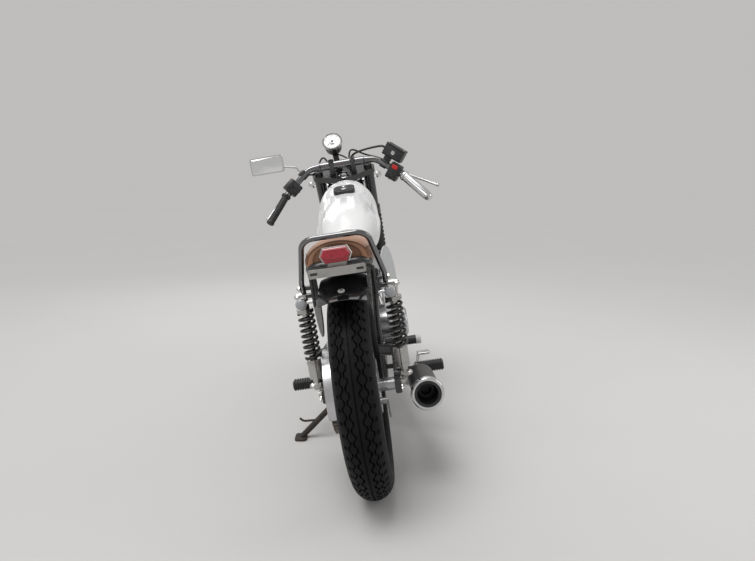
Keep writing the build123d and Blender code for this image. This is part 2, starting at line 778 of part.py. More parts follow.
with BuildPart() as tail_light:
    with BuildSketch(Plane(origin=(-193 - clearance, 0, 786), x_dir=(0, 1, 0), z_dir=(-1, 0, 0))):
        with BuildLine():
            Polyline((-41, 0), (-32, 21), (32, 21), (41, 0), (32, -21), (-32, -21), close=True)
        make_face()
    extrude(amount=28, taper=8)
keep("tail_light", tail_light)


def signal_plane(x, y, z):
    return Plane(origin=(x, y, z), z_dir=(1, 0, 0))


# Small bullet turn signals on short stalks
rear_signal = (-70.0, 130.0, 642.0)
with BuildPart() as rear_signals:
    for side in (-1, 1):
        with BuildSketch(signal_plane(rear_signal[0] - 26, side * rear_signal[1], rear_signal[2])):
            Circle(16)
        extrude(amount=30)
        with BuildSketch(signal_plane(rear_signal[0] + 4, side * rear_signal[1], rear_signal[2])):
            Circle(16)
        extrude(amount=22, taper=24)
        stalk_start = rail_half - 2 + clearance
        with BuildSketch(at_side(side * stalk_start)):
            with Locations((rear_signal[0], rear_signal[2])):
                Circle(5)
        extrude(amount=-side * (rear_signal[1] - stalk_start))
keep("rear_signals", rear_signals)

# Twin shock absorbers: eyes, damper body, cups, and coil springs of their own
shock_bottom = vec(shock_low[0], 0, shock_low[1])
shock_top = vec(shock_high[0], 0, shock_high[1])
shock_length = path_length(shock_bottom, shock_top)
shock_up = (shock_top - shock_bottom).normalized()
cup_low = 88.0
cup_high = shock_length - 50
# rows of start height, end height and radius along the shock absorber
shock_rows = [(8, 26, 13), (26, cup_low, 22), (cup_low, cup_high, 12), (cup_high, cup_high + 12, 26),
              (cup_high + 12, shock_length - 8, 15)]


def shock_plane(side, height):
    origin = shock_bottom + shock_up * height + vec(0, side * shock_line, 0)
    return Plane(origin=origin, x_dir=(0, 1, 0), z_dir=shock_up)


with BuildPart() as shock_absorbers:
    for side in (-1, 1):
        for start, end, radius in shock_rows:
            with BuildSketch(shock_plane(side, start)):
                Circle(radius)
            extrude(amount=end - start)
        for spot in (shock_low, shock_high):
            with BuildSketch(at_side(side * shock_line + 11)):
                with Locations(spot):
                    Circle(15)
            extrude(amount=22)
            with BuildSketch(at_side(side * shock_line + 30)):
                with Locations(spot):
                    Circle(axle_radius + clearance)
            extrude(amount=60, mode=Mode.SUBTRACT)
keep("shock_absorbers", shock_absorbers)

spring_turns = 8
spring_length = cup_high - cup_low - 2 * spring_wire - 2 * clearance
with BuildPart() as shock_springs:
    for side in (-1, 1):
        base = shock_plane(side, cup_low + spring_wire + clearance)
        with BuildLine():
            coil = Helix(
                pitch=spring_length / spring_turns, height=spring_length,
                radius=spring_radius - spring_wire, center=base.origin, direction=base.z_dir)
        with BuildSketch(Plane(origin=coil @ 0, z_dir=coil % 0)):
            Circle(spring_wire)
        sweep(path=coil, is_frenet=True)
keep("shock_springs", shock_springs)

# Foot pegs with their hangers
peg_x = 450.0
peg_z = 232.0
peg_start = 180.0
peg_end = 289.0
with BuildPart() as footpegs:
    for side in (-1, 1):
        with BuildLine():
            hanger = FilletPolyline(
                (500, side * (cradle_half + cradle_radius + clearance), peg_z + 4), (500, side * 104, peg_z + 4),
                (peg_x, side * 146, peg_z), (peg_x, side * peg_start, peg_z), radius=14)
        with BuildSketch(Plane(origin=hanger @ 0, z_dir=hanger % 0)):
            Circle(9)
        sweep(path=hanger)
        with BuildSketch(at_side(side * peg_start)):
            with Locations((peg_x, peg_z)):
                RectangleRounded(34, 24, 8)
        extrude(amount=-side * (peg_end - peg_start))
keep("footpegs", footpegs)

# Brake pedal, gear lever and kick lever
with BuildPart() as foot_controls:
    for side in (-1, 1):
        with BuildLine():
            arm = FilletPolyline(
                (peg_x + 18 + clearance, side * (peg_start + 8), peg_z), (520, side * 192, 226),
                (612, side * 204, 262), radius=20)
        with BuildSketch(Plane(origin=arm @ 0, z_dir=arm % 0)):
            Circle(6)
        sweep(path=arm)
        with BuildSketch(at_side(side * 200)):
            with Locations((616, 264)):
                RectangleRounded(34 if side < 0 else 18, 10 if side < 0 else 18, 4)
        extrude(amount=-side * 50)
    with BuildSketch(at_side(-136 - clearance)):
        with Locations((594, 350)):
            Circle(11)
    extrude(amount=62)
    with BuildLine():
        kick = FilletPolyline((594, -192, 350), (572, -200, 470), (556, -200, 530), radius=30)
    with BuildSketch(Plane(origin=kick @ 0, z_dir=kick % 0)):
        Circle(8)
    sweep(path=kick)
keep("foot_controls", foot_controls)

# Oval number plates on each side, on short stand-offs from the frame
plate_turn = 12.0
plate_centre = (300.0, 130.0, 588.0)
with BuildPart() as side_plates:
    for side in (-1, 1):
        facing = vec(-sin(radians(plate_turn)), side * cos(radians(plate_turn)), 0)
        outward = Plane(
            origin=(plate_centre[0], side * plate_centre[1], plate_centre[2]),
            x_dir=(cos(radians(plate_turn)), side * sin(radians(plate_turn)), 0), z_dir=facing)
        with BuildSketch(outward):
            Ellipse(132, 142)
        extrude(amount=3)
        for x in (250, 350):
            y = plate_centre[1] + (x - plate_centre[0]) * sin(radians(plate_turn)) / cos(radians(plate_turn))
            start = rail_half - 2
            with BuildSketch(at_side(side * (start + cradle_radius))):
                with Locations((x, 700)):
                    Circle(6)
            extrude(amount=-side * (y - start - cradle_radius + 1))
keep("side_plates", side_plates)

# Chain: one closed loop with its link plates in its outline
rear_wrap = pi + 2 * asin((rear_pitch_radius - front_pitch_radius) / chain_centres)
front_wrap = 2 * pi - rear_wrap
straight_run = sqrt(chain_centres ** 2 - (rear_pitch_radius - front_pitch_radius) ** 2)
loop_length = rear_pitch_radius * rear_wrap + front_pitch_radius * front_wrap + 2 * straight_run


def chain_point(travel, proud):
    # A point on the loop, from its rearmost point over the top, pushed out by proud
    half_rear = rear_pitch_radius * rear_wrap / 2
    travel = travel % loop_length
    if travel > loop_length / 2:
        x, z = chain_point(loop_length - travel, proud)
        return x, -z
    if travel < half_rear:
        angle = pi - travel / rear_pitch_radius
        reach = rear_pitch_radius + proud
        return reach * cos(angle), reach * sin(angle)
    if travel < half_rear + straight_run:
        angle = pi - rear_wrap / 2
        along_run = travel - half_rear
        reach = rear_pitch_radius + proud
        return reach * cos(angle) + along_run * sin(angle), reach * sin(angle) - along_run * cos(angle)
    angle = front_wrap / 2 - (travel - half_rear - straight_run) / front_pitch_radius
    reach = front_pitch_radius + proud
    return chain_centres + reach * cos(angle), reach * sin(angle)


def chain_edge(at_pin, at_waist):
    step = loop_length / chain_links
    points = []
    for link in range(chain_links):
        points.append(chain_point(link * step, at_pin))
        points.append(chain_point((link + 0.5) * step, at_waist))
    return points


def chain_side(left):
    return Plane(
        origin=(0, left, rear_radius), z_dir=(0, -1, 0),
        x_dir=(cos(radians(chain_tilt)), 0, sin(radians(chain_tilt))))


with BuildPart() as chain:
    for left, right in ((9, 5), (-5, -9)):
        with BuildSketch(chain_side(chain_line + left)):
            with BuildLine():
                Polyline(*chain_edge(link_height / 2, link_height / 2 - 2.2), close=True)
            make_face()
            with BuildLine():
                Polyline(*chain_edge(-link_height / 2, -link_height / 2 + 2.2), close=True)
            make_face(mode=Mode.SUBTRACT)
        extrude(amount=left - right)
    with BuildSketch(chain_side(chain_line + 5)):
        with BuildLine():
            Polyline(*chain_edge(roller_radius - 1, roller_radius - 1)[::2], close=True)
        make_face()
        with BuildLine():
            Polyline(*chain_edge(-roller_radius + 1, -roller_radius + 1)[::2], close=True)
        make_face(mode=Mode.SUBTRACT)
    extrude(amount=10)
keep("chain", chain)

drive_centre = chain_side(chain_line).from_local_coords(vec(chain_centres, 0, 0))
with BuildPart() as drive_sprocket:
    with BuildSketch(at_side(chain_line + sprocket_thick / 2)):
        with Locations((drive_centre.X, drive_centre.Z)):
            Circle(front_pitch_radius - roller_radius - clearance)
    extrude(amount=sprocket_thick)
    with BuildSketch(at_side(chain_line - sprocket_thick / 2)):
        with Locations((drive_centre.X, drive_centre.Z)):
            Circle(15)
    extrude(amount=chain_line - sprocket_thick / 2 - gearbox_half - clearance)
keep("drive_sprocket", drive_sprocket)

# Chain guard: a polished strip round the back of the sprocket and along the run
guard_radius = 141.0
guard_left = 101.0
with BuildPart() as chain_guard:
    with BuildSketch(chain_side(guard_left)):
        with BuildLine():
            rear_end = (guard_radius * cos(radians(196)), guard_radius * sin(radians(196)))
            top_angle = 82.0
            top_end = (guard_radius * cos(radians(top_angle)), guard_radius * sin(radians(top_angle)))
            middle = (guard_radius * cos(radians(139)), guard_radius * sin(radians(139)))
            ThreePointArc(rear_end, middle, top_end)
            front_end = (top_end[0] + 400 * sin(radians(top_angle)), top_end[1] - 400 * cos(radians(top_angle)))
            Line(top_end, front_end)
            inner = guard_radius - 2.5
            low_front = (front_end[0] - 2.5 * cos(radians(top_angle)), front_end[1] - 2.5 * sin(radians(top_angle)))
            Line(front_end, low_front)
            low_top = (inner * cos(radians(top_angle)), inner * sin(radians(top_angle)))
            Line(low_front, low_top)
            low_rear = (inner * cos(radians(196)), inner * sin(radians(196)))
            ThreePointArc(low_top, (inner * cos(radians(139)), inner * sin(radians(139))), low_rear)
            Line(low_rear, rear_end)
        make_face()
    extrude(amount=26)
keep("chain_guard", chain_guard)

# Steering: clamps and stem, turning in the head tube
def turned(x, y, z):
    # A point given with the steering straight ahead, moved to where it is steered
    return fork.from_local_coords(straight.to_local_coords(vec(x, y, z)))


legs = [(fork_offset, -fork_half), (fork_offset, fork_half)]
bar_spread = 47.5
bar_centre = straight.to_local_coords(vec(1000, 0, 1041))
bar_sleeve = 14.0
clamp_top = upper_clamp + upper_clamp_thick
with BuildPart() as fork_clamps:
    for start, thick in ((lower_clamp, clamp_thick), (upper_clamp, upper_clamp_thick)):
        with BuildSketch(fork.offset(start)):
            with Locations(*legs):
                Circle(30)
            Circle(30)
            make_hull()
            with Locations(*legs):
                Circle(stanchion_radius + clearance, mode=Mode.SUBTRACT)
        extrude(amount=thick)
    with BuildSketch(fork.offset(lower_clamp)):
        Circle(14)
    extrude(amount=clamp_top + 12 - lower_clamp)
    with BuildSketch(fork.offset(clamp_top)):
        RegularPolygon(18, 6)
    extrude(amount=9)
    for start, end in ((lower_clamp + clamp_thick, head_low - clearance), (head_high + clearance, upper_clamp)):
        with BuildSketch(fork.offset(start)):
            Circle(26)
        extrude(amount=end - start)
    with BuildSketch(fork.offset(clamp_top)):
        with Locations((bar_centre.X, -bar_spread), (bar_centre.X, bar_spread)):
            RectangleRounded(38, 24, 6)
    extrude(amount=bar_centre.Z + 20 - clamp_top)
    with BuildSketch(Plane(origin=on_fork(bar_centre.X, -80, bar_centre.Z), z_dir=fork.y_dir)):
        Circle(bar_sleeve + clearance)
    extrude(amount=160, mode=Mode.SUBTRACT)
keep("fork_clamps", fork_clamps)

with BuildPart() as fork_tubes:
    with BuildSketch(fork.offset(300)):
        with Locations(*legs):
            Circle(stanchion_radius)
    extrude(amount=fork_end - 300)
keep("fork_tubes", fork_tubes)

with BuildPart() as fork_sliders:
    with BuildSketch(fork.offset(-30)):
        with Locations(*legs):
            Circle(slider_radius)
    extrude(amount=slider_top + 30)
    with BuildSketch(fork.offset(300 - clearance)):
        with Locations(*legs):
            Circle(stanchion_radius + clearance)
    extrude(amount=60, mode=Mode.SUBTRACT)
    with BuildSketch(on_hub(front_hub, 90)):
        with BuildLine():
            Polyline((-8, 40), (-8, 120), (-66, 104), (-96, 60), (-70, 36), close=True)
        make_face()
    extrude(amount=90 - 76 - clearance)
    with BuildSketch(on_hub(front_hub, fork_half + slider_radius + 1)):
        Circle(axle_radius + clearance)
    extrude(amount=2 * (fork_half + slider_radius) + 2, mode=Mode.SUBTRACT)
keep("fork_sliders", fork_sliders)

gaiter_ribs = 8
rib_step = (gaiter_top - slider_top - clearance) / gaiter_ribs
with BuildPart() as fork_gaiters:
    for x, y in legs:
        leg_foot = on_fork(x, y, 0)
        with BuildSketch(Plane(origin=leg_foot, x_dir=fork.x_dir, z_dir=-fork.y_dir)):
            with BuildLine():
                points = [(stanchion_radius + clearance, slider_top + clearance)]
                for rib in range(gaiter_ribs):
                    low = slider_top + clearance + rib * rib_step
                    points += [(gaiter_radius - 5, low), (gaiter_radius, low + rib_step / 2)]
                points += [(gaiter_radius - 5, gaiter_top), (stanchion_radius + clearance, gaiter_top)]
                Polyline(*points, close=True)
            make_face()
        revolve(axis=Axis(leg_foot, fork.z_dir))
keep("fork_gaiters", fork_gaiters)

# Handlebar, grips and hand controls
bar_points = [(893, 345, 843), (965, 258, 950), (1000, 150, 1041)]
with BuildPart() as handlebar:
    with BuildLine():
        bar_path = FilletPolyline(
            *[turned(x, y, z) for x, y, z in bar_points],
            *[turned(x, -y, z) for x, y, z in reversed(bar_points)], radius=45)
    with BuildSketch(Plane(origin=bar_path @ 0, z_dir=bar_path % 0)):
        Circle(bar_radius)
    sweep(path=bar_path)
    with BuildSketch(Plane(origin=on_fork(bar_centre.X, -92, bar_centre.Z), z_dir=fork.y_dir)):
        Circle(bar_sleeve)
    extrude(amount=184)
keep("handlebar", handlebar)

grip_length = 122.0
bar_ends = [(bar_path @ 0, bar_path % 0), (bar_path @ 1, bar_path % 1 * -1)]
with BuildPart() as grips:
    for end, inward in bar_ends:
        with BuildSketch(Plane(origin=end + inward * clearance, z_dir=inward)):
            Circle(16.5)
            Circle(bar_radius + clearance, mode=Mode.SUBTRACT)
        extrude(amount=grip_length)
        with BuildSketch(Plane(origin=end + inward * (grip_length - 6), z_dir=inward)):
            Circle(21)
            Circle(bar_radius + clearance, mode=Mode.SUBTRACT)
        extrude(amount=6)
        with BuildSketch(Plane(origin=end - inward * clearance, z_dir=-inward)):
            Circle(14)
        extrude(amount=12, taper=20)
keep("grips", grips)


def bar_plane(side, travel, rise, ahead):
    # On the sloping stretch of the bar, travel from its shoulder, z along the bar
    shoulder = turned(bar_points[2][0], side * bar_points[2][1], bar_points[2][2])
    bend = turned(bar_points[1][0], side * bar_points[1][1], bar_points[1][2])
    direction = (bend - shoulder).normalized()
    fore = direction.cross(vec(0, 0, 1)).normalized() * (-side)
    above = fore.cross(direction).normalized() * (-side)
    if above.Z < 0:
        above = -above
    if fore.X < 0:
        fore = -fore
    return Plane(origin=shoulder + direction * travel + above * rise + fore * ahead, x_dir=fore, z_dir=direction)


perch_left = 20.0
perch_right = 34.0
with BuildPart() as bar_controls:
    for side, travel, rise in ((1, 52, 4), (-1, 84, 6)):
        with BuildSketch(bar_plane(side, travel, rise, 0)):
            RectangleRounded(40, 48, 9)
        extrude(amount=42)
    with BuildSketch(bar_plane(-1, perch_right, 0, 4)):
        RectangleRounded(34, 34, 6)
    extrude(amount=28)
    with BuildSketch(bar_plane(1, perch_left, 0, 4)):
        RectangleRounded(34, 34, 6)
    extrude(amount=28)
    with BuildSketch(bar_plane(-1, 30, 40, 12)):
        RectangleRounded(46, 40, 7)
    extrude(amount=66)
    with BuildSketch(bar_plane(-1, 36, 18, 10)):
        Rectangle(24, 24)
    extrude(amount=24)
    for side in (-1, 1):
        with BuildSketch(bar_plane(side, 10, 0, 0)):
            Circle(bar_radius + clearance)
        extrude(amount=126, mode=Mode.SUBTRACT)
keep("bar_controls", bar_controls)

with BuildPart() as hand_levers:
    for side, perch in ((-1, perch_right), (1, perch_left)):
        with BuildLine():
            lever = FilletPolyline(
                bar_plane(side, perch + 14, 0, 21 + clearance).origin, bar_plane(side, perch + 14, 0, 50).origin,
                turned(1010, side * 300, 935), turned(965, side * 388, 872), radius=20)
        with BuildSketch(Plane(origin=lever @ 0, z_dir=lever % 0)):
            Circle(5.5)
        sweep(path=lever)
        with Locations(lever @ 1):
            Sphere(8)
keep("hand_levers", hand_levers)

# Mirror on the left, gauge, headlamp and front signals
mirror_centre = turned(962, 325, 1086)
with BuildPart() as mirror:
    with BuildSketch(Plane(origin=mirror_centre, x_dir=fork.y_dir, z_dir=(-1, 0, 0))):
        RectangleRounded(146, 75, 10)
    extrude(amount=-12)
    with BuildLine():
        stem = FilletPolyline(
            bar_plane(1, perch_left + 14, 17 + clearance, 4).origin,
            bar_plane(1, perch_left + 14, 48, 4).origin, turned(974, 322, 1084), radius=12)
    with BuildSketch(Plane(origin=stem @ 0, z_dir=stem % 0)):
        Circle(4)
    sweep(path=stem)
keep("mirror", mirror)

gauge_radius = 43.5
gauge_centre = turned(1040, 27, 1146)
gauge_facing = vec(-cos(radians(35)), 0, sin(radians(35)))
with BuildPart() as gauge:
    with BuildSketch(Plane(origin=gauge_centre, z_dir=gauge_facing * -1)):
        Circle(gauge_radius)
    extrude(amount=58, taper=8)
    fillet(faces().sort_by(Axis.X)[-1].edges(), 8)
    with BuildSketch(fork.offset(clamp_top + clearance)):
        with Locations((fork_offset + 16, 18)):
            RectangleRounded(20, 34, 4)
    extrude(amount=6)
    gauge_foot = on_fork(fork_offset + 16, 18, clamp_top + 4)
    gauge_low = gauge_centre - gauge_facing * 54
    with BuildSketch(Plane(origin=gauge_foot, x_dir=fork.y_dir, z_dir=gauge_low - gauge_foot)):
        Rectangle(26, 8)
    extrude(amount=path_length(gauge_foot, gauge_low))
keep("gauge", gauge)

lamp_local = (158.0, 0.0, 650.0)
lamp_centre = on_fork(*lamp_local)
lamp_ahead = fork.x_dir * cos(radians(rake)) - fork.z_dir * sin(radians(rake))
lens_bulge = 16.0
lens_ball = (82 ** 2 + lens_bulge ** 2) / 2 / lens_bulge
lens_sweep = degrees(asin(82 / lens_ball))
with BuildPart() as headlamp:
    with BuildSketch(Plane(origin=lamp_centre, x_dir=lamp_ahead, z_dir=-fork.y_dir)):
        with BuildLine():
            back = Line((-72, 0), (-70, 22))
            bowl = ThreePointArc(back @ 1, (-40, 66), (22, 82))
            rim = Polyline(bowl @ 1, (26, 82), (26, 88), (40, 88), (44, 82))
            lens = CenterArc((44 + lens_bulge - lens_ball, 0), lens_ball, lens_sweep, -lens_sweep)
            Line(lens @ 1, back @ 0)
        make_face()
    revolve(axis=Axis(lamp_centre, lamp_ahead))
keep("headlamp", headlamp)

ear_radius = 24.0
with BuildPart() as headlamp_ears:
    with BuildSketch(fork.offset(lower_clamp + clamp_thick + clearance)):
        with Locations(*legs):
            Circle(ear_radius)
    extrude(amount=upper_clamp - lower_clamp - clamp_thick - 2 * clearance)
    for side in (-1, 1):
        ear_side = Plane(origin=on_fork(0, side * 92, 0), x_dir=fork.x_dir, z_dir=-fork.y_dir)
        with BuildSketch(ear_side):
            with BuildLine():
                Polyline((56, 690), (56, 610), (150, 632), (172, 645), (160, 666), close=True)
            make_face()
        extrude(amount=-side * 5)
    with BuildSketch(fork.offset(lower_clamp + clamp_thick)):
        with Locations(*legs):
            Circle(stanchion_radius + clearance)
    extrude(amount=200, mode=Mode.SUBTRACT)
keep("headlamp_ears", headlamp_ears)

with BuildPart() as front_signals:
    for side in (-1, 1):
        middle = on_fork(fork_offset + 44, side * 156, 700)
        with BuildSketch(Plane(origin=middle, z_dir=lamp_ahead)):
            Circle(16)
        extrude(amount=24)
        with BuildSketch(Plane(origin=middle, z_dir=lamp_ahead * -1)):
            Circle(16)
        extrude(amount=22, taper=24)
        stalk_out = (ear_radius + clearance) / sqrt(2)
        root = on_fork(fork_offset + stalk_out, side * (fork_half + stalk_out), 698)
        with BuildSketch(rod_plane(root, middle)):
            Circle(5)
        extrude(amount=path_length(root, middle))
keep("front_signals", front_signals)

# Front fender close over the tyre, and the brake caliper
guard_clear = 22.0
with BuildPart() as front_fender:
    high = front_radius + guard_clear
    begin = 42.0
    radial = fork.z_dir * cos(radians(begin)) + fork.x_dir * sin(radians(begin))
    start_plane = Plane(origin=front_hub.origin, x_dir=fork.y_dir, z_dir=fork.y_dir.cross(radial))
    with BuildSketch(start_plane):
        with BuildLine():
            over = ThreePointArc((-56, high - 20), (0, high), (56, high - 20))
            under = ThreePointArc((-54, high - 22), (0, high - 2.5), (54, high - 22))
            Line(over @ 0, under @ 0)
            Line(over @ 1, under @ 1)
        make_face()
    revolve(axis=Axis(front_hub.origin, fork.y_dir * -1), revolution_arc=96)
    for side in (-1, 1):
        with BuildSketch(Plane(origin=front_hub.origin + fork.y_dir * side * 54, x_dir=fork.x_dir,
                               z_dir=-fork.y_dir)):
            with BuildLine():
                Polyline((-14, high - 18), (14, high - 18), (14, 250), (-14, 250), close=True)
            make_face()
        extrude(amount=-side * 3)
        with BuildSketch(Plane(origin=front_hub.origin + fork.y_dir * side * 57, x_dir=fork.x_dir,
                               z_dir=-fork.y_dir)):
            with Locations((0, 262)):
                Circle(8)
        extrude(amount=-side * (fork_half - slider_radius - 57 - clearance))
keep("front_fender", front_fender)

with BuildPart() as brake_caliper:
    with BuildSketch(on_hub(front_hub, 76)):
        with Locations(Location((-88, 80), 42)):
            RectangleRounded(52, 84, 10)
    extrude(amount=34)
    with BuildSketch(on_hub(front_hub, disc_line + 2)):
        Circle(137)
    extrude(amount=9, mode=Mode.SUBTRACT)
keep("brake_caliper", brake_caliper)

# Side stand: leg from the frame's bracket down to a foot flat on the ground
foot_thick = 8.0
with BuildPart() as side_stand:
    with BuildSketch(Plane(origin=pivot_point - hinge * stand_boss, z_dir=hinge)):
        Circle(stand_eye)
        Circle(axle_radius + clearance, mode=Mode.SUBTRACT)
    extrude(amount=2 * stand_boss)
    leg_start = pivot_point + leg_down * 13
    leg_end = foot_point + up * 4
    with BuildSketch(rod_plane(leg_start, leg_end)):
        Circle(stand_radius)
    extrude(amount=path_length(leg_start, leg_end) - 6)
    with BuildSketch(Plane(origin=foot_point, x_dir=ground.x_dir, z_dir=up)):
        RectangleRounded(62, 44, 12)
    extrude(amount=foot_thick)
keep("side_stand", side_stand)

# Parked: every piece is moved as one so that the ground is level, with the
# origin on it under the middle of the machine
level = ground.location.inverse()
reach = Compound([piece.part.moved(level) for piece in pieces.values()]).bounding_box()
parking = Location((-reach.center().X, -reach.center().Y, -reach.min.Z)) * level
for name, piece in pieces.items():
    piece.part = piece.part.moved(parking)
    piece.part.label = name
    export_step(piece.part, "parts/" + name + ".step")
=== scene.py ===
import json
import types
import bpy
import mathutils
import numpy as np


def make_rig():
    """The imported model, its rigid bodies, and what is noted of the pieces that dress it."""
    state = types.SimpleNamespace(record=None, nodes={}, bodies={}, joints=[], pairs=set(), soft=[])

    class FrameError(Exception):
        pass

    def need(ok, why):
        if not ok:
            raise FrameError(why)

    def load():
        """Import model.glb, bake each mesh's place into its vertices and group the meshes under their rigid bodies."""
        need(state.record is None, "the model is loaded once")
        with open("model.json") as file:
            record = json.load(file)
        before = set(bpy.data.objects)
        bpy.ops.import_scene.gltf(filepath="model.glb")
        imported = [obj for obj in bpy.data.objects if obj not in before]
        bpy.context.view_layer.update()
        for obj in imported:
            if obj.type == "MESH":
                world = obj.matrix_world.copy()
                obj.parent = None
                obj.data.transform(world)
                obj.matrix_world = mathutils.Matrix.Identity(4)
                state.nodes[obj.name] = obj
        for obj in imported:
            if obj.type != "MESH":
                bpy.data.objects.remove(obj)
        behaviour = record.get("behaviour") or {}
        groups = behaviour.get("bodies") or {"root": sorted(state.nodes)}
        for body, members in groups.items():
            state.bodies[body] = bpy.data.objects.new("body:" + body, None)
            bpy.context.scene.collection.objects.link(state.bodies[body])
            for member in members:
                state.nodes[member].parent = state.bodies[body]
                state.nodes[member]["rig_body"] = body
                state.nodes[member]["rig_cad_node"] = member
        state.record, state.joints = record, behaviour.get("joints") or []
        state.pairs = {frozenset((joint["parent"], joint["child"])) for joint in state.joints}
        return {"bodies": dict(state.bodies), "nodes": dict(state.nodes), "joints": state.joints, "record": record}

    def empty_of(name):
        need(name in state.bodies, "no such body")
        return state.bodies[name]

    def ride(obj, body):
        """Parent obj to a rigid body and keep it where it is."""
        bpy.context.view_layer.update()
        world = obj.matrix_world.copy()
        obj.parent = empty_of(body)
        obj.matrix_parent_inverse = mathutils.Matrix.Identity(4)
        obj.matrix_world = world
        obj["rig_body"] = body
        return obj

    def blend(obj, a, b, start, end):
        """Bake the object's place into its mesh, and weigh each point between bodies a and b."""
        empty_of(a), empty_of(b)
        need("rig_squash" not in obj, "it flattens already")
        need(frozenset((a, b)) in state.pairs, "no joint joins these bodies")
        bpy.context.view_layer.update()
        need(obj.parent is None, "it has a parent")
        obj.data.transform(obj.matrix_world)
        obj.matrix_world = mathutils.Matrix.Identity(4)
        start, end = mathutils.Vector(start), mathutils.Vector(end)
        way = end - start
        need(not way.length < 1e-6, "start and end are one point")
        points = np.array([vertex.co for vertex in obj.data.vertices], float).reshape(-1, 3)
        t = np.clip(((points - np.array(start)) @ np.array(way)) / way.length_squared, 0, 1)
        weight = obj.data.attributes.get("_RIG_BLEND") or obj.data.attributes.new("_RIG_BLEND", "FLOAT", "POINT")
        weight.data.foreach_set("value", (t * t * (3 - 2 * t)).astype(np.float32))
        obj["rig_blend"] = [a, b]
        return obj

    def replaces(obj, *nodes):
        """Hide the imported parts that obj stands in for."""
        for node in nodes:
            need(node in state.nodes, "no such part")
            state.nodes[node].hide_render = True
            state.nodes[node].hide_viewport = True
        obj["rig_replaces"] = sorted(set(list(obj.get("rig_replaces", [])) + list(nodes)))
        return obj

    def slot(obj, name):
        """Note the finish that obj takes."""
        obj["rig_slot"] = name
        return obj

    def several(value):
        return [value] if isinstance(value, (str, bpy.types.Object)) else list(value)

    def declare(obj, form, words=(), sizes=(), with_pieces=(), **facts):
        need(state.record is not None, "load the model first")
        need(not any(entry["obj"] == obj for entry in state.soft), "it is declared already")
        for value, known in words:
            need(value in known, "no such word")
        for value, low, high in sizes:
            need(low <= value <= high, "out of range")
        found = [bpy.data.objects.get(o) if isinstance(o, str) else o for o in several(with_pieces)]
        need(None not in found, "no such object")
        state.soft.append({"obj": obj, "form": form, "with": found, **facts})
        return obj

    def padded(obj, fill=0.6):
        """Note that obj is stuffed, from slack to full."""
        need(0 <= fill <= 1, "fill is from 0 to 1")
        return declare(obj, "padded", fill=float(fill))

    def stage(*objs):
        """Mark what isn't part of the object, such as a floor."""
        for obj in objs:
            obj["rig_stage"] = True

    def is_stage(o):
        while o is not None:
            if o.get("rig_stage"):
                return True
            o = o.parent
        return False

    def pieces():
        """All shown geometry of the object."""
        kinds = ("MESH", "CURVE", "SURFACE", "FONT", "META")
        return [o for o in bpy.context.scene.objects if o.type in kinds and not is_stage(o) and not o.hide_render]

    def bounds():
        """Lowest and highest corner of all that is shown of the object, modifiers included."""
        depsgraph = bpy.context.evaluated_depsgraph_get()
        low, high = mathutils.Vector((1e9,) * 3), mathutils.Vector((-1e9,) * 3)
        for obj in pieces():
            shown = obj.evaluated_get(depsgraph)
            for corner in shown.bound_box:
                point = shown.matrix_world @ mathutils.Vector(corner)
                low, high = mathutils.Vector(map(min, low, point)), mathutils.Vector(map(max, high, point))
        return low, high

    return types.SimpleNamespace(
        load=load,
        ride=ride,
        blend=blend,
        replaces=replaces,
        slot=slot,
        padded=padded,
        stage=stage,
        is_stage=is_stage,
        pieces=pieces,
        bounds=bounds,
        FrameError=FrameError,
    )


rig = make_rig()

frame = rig.load()

import json
import math

import bmesh
import bpy
from mathutils import Vector, noise

cad_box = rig.bounds()

# Stance: the machine leans to its left on its side stand. The joints' axes give its
# own directions, ahead, left and up, and its origin is where the rear tyre meets the
# floor when it stands upright.
mm = 0.001
joints = {joint["name"]: joint for joint in frame["joints"]}
rake = math.radians(27.0)
left = Vector(joints["rear_wheel_spin"]["axis"]).normalized()
steering_up = Vector(joints["steering"]["axis"]).normalized()
level_ahead = left.cross(steering_up).normalized()
ahead = level_ahead * math.cos(rake) - steering_up * math.sin(rake)
up = ahead.cross(left).normalized()
rear_hub = Vector(joints["rear_wheel_spin"]["pos_m"])
rear_radius = 336.0
machine_origin = rear_hub - up * rear_radius * mm

# Camera: the photograph's place and lens, behind the machine at chest height and
# looking a little down at it. The focal length is known in the photograph's pixels.
sensor_width = 36.0
photo_width = 755.0
focal_pixels = 642.0
camera_place = Vector((-1.912, 0.012, 0.998))
yaw = math.radians(-0.31)
down = math.radians(9.71)


def add_object(name, data):
    thing = bpy.data.objects.new(name, data)
    bpy.context.scene.collection.objects.link(thing)
    return thing


def facing(direction):
    # the turn that points a camera or lamp along a direction
    return direction.to_track_quat("-Z", "Y").to_euler()


camera_data = bpy.data.cameras.new("camera")
camera_data.lens = sensor_width * focal_pixels / photo_width
camera = add_object("camera", camera_data)
camera.location = machine_origin + camera_place
camera.rotation_euler = facing(Vector((
    math.cos(yaw) * math.cos(down), math.sin(yaw) * math.cos(down), -math.sin(down))))
bpy.context.scene.camera = camera
bpy.context.scene.view_settings.view_transform = "Standard"


# Floor and light: a plain pale concrete floor with faint clouds in it, under a wide
# sun and soft lamps, with a pale surround that metal and glass mirror too.
def add_node(tree, kind, operation=None, **values):
    # values: what its sockets hold, by name with _ for a space
    node = tree.nodes.new("ShaderNode" + kind)
    if operation:
        node.operation = operation
    for socket, value in values.items():
        node.inputs[socket.replace("_", " ")].default_value = value
    return node


def wire(tree, *pairs):
    for source, target in pairs:
        tree.links.new(source, target)


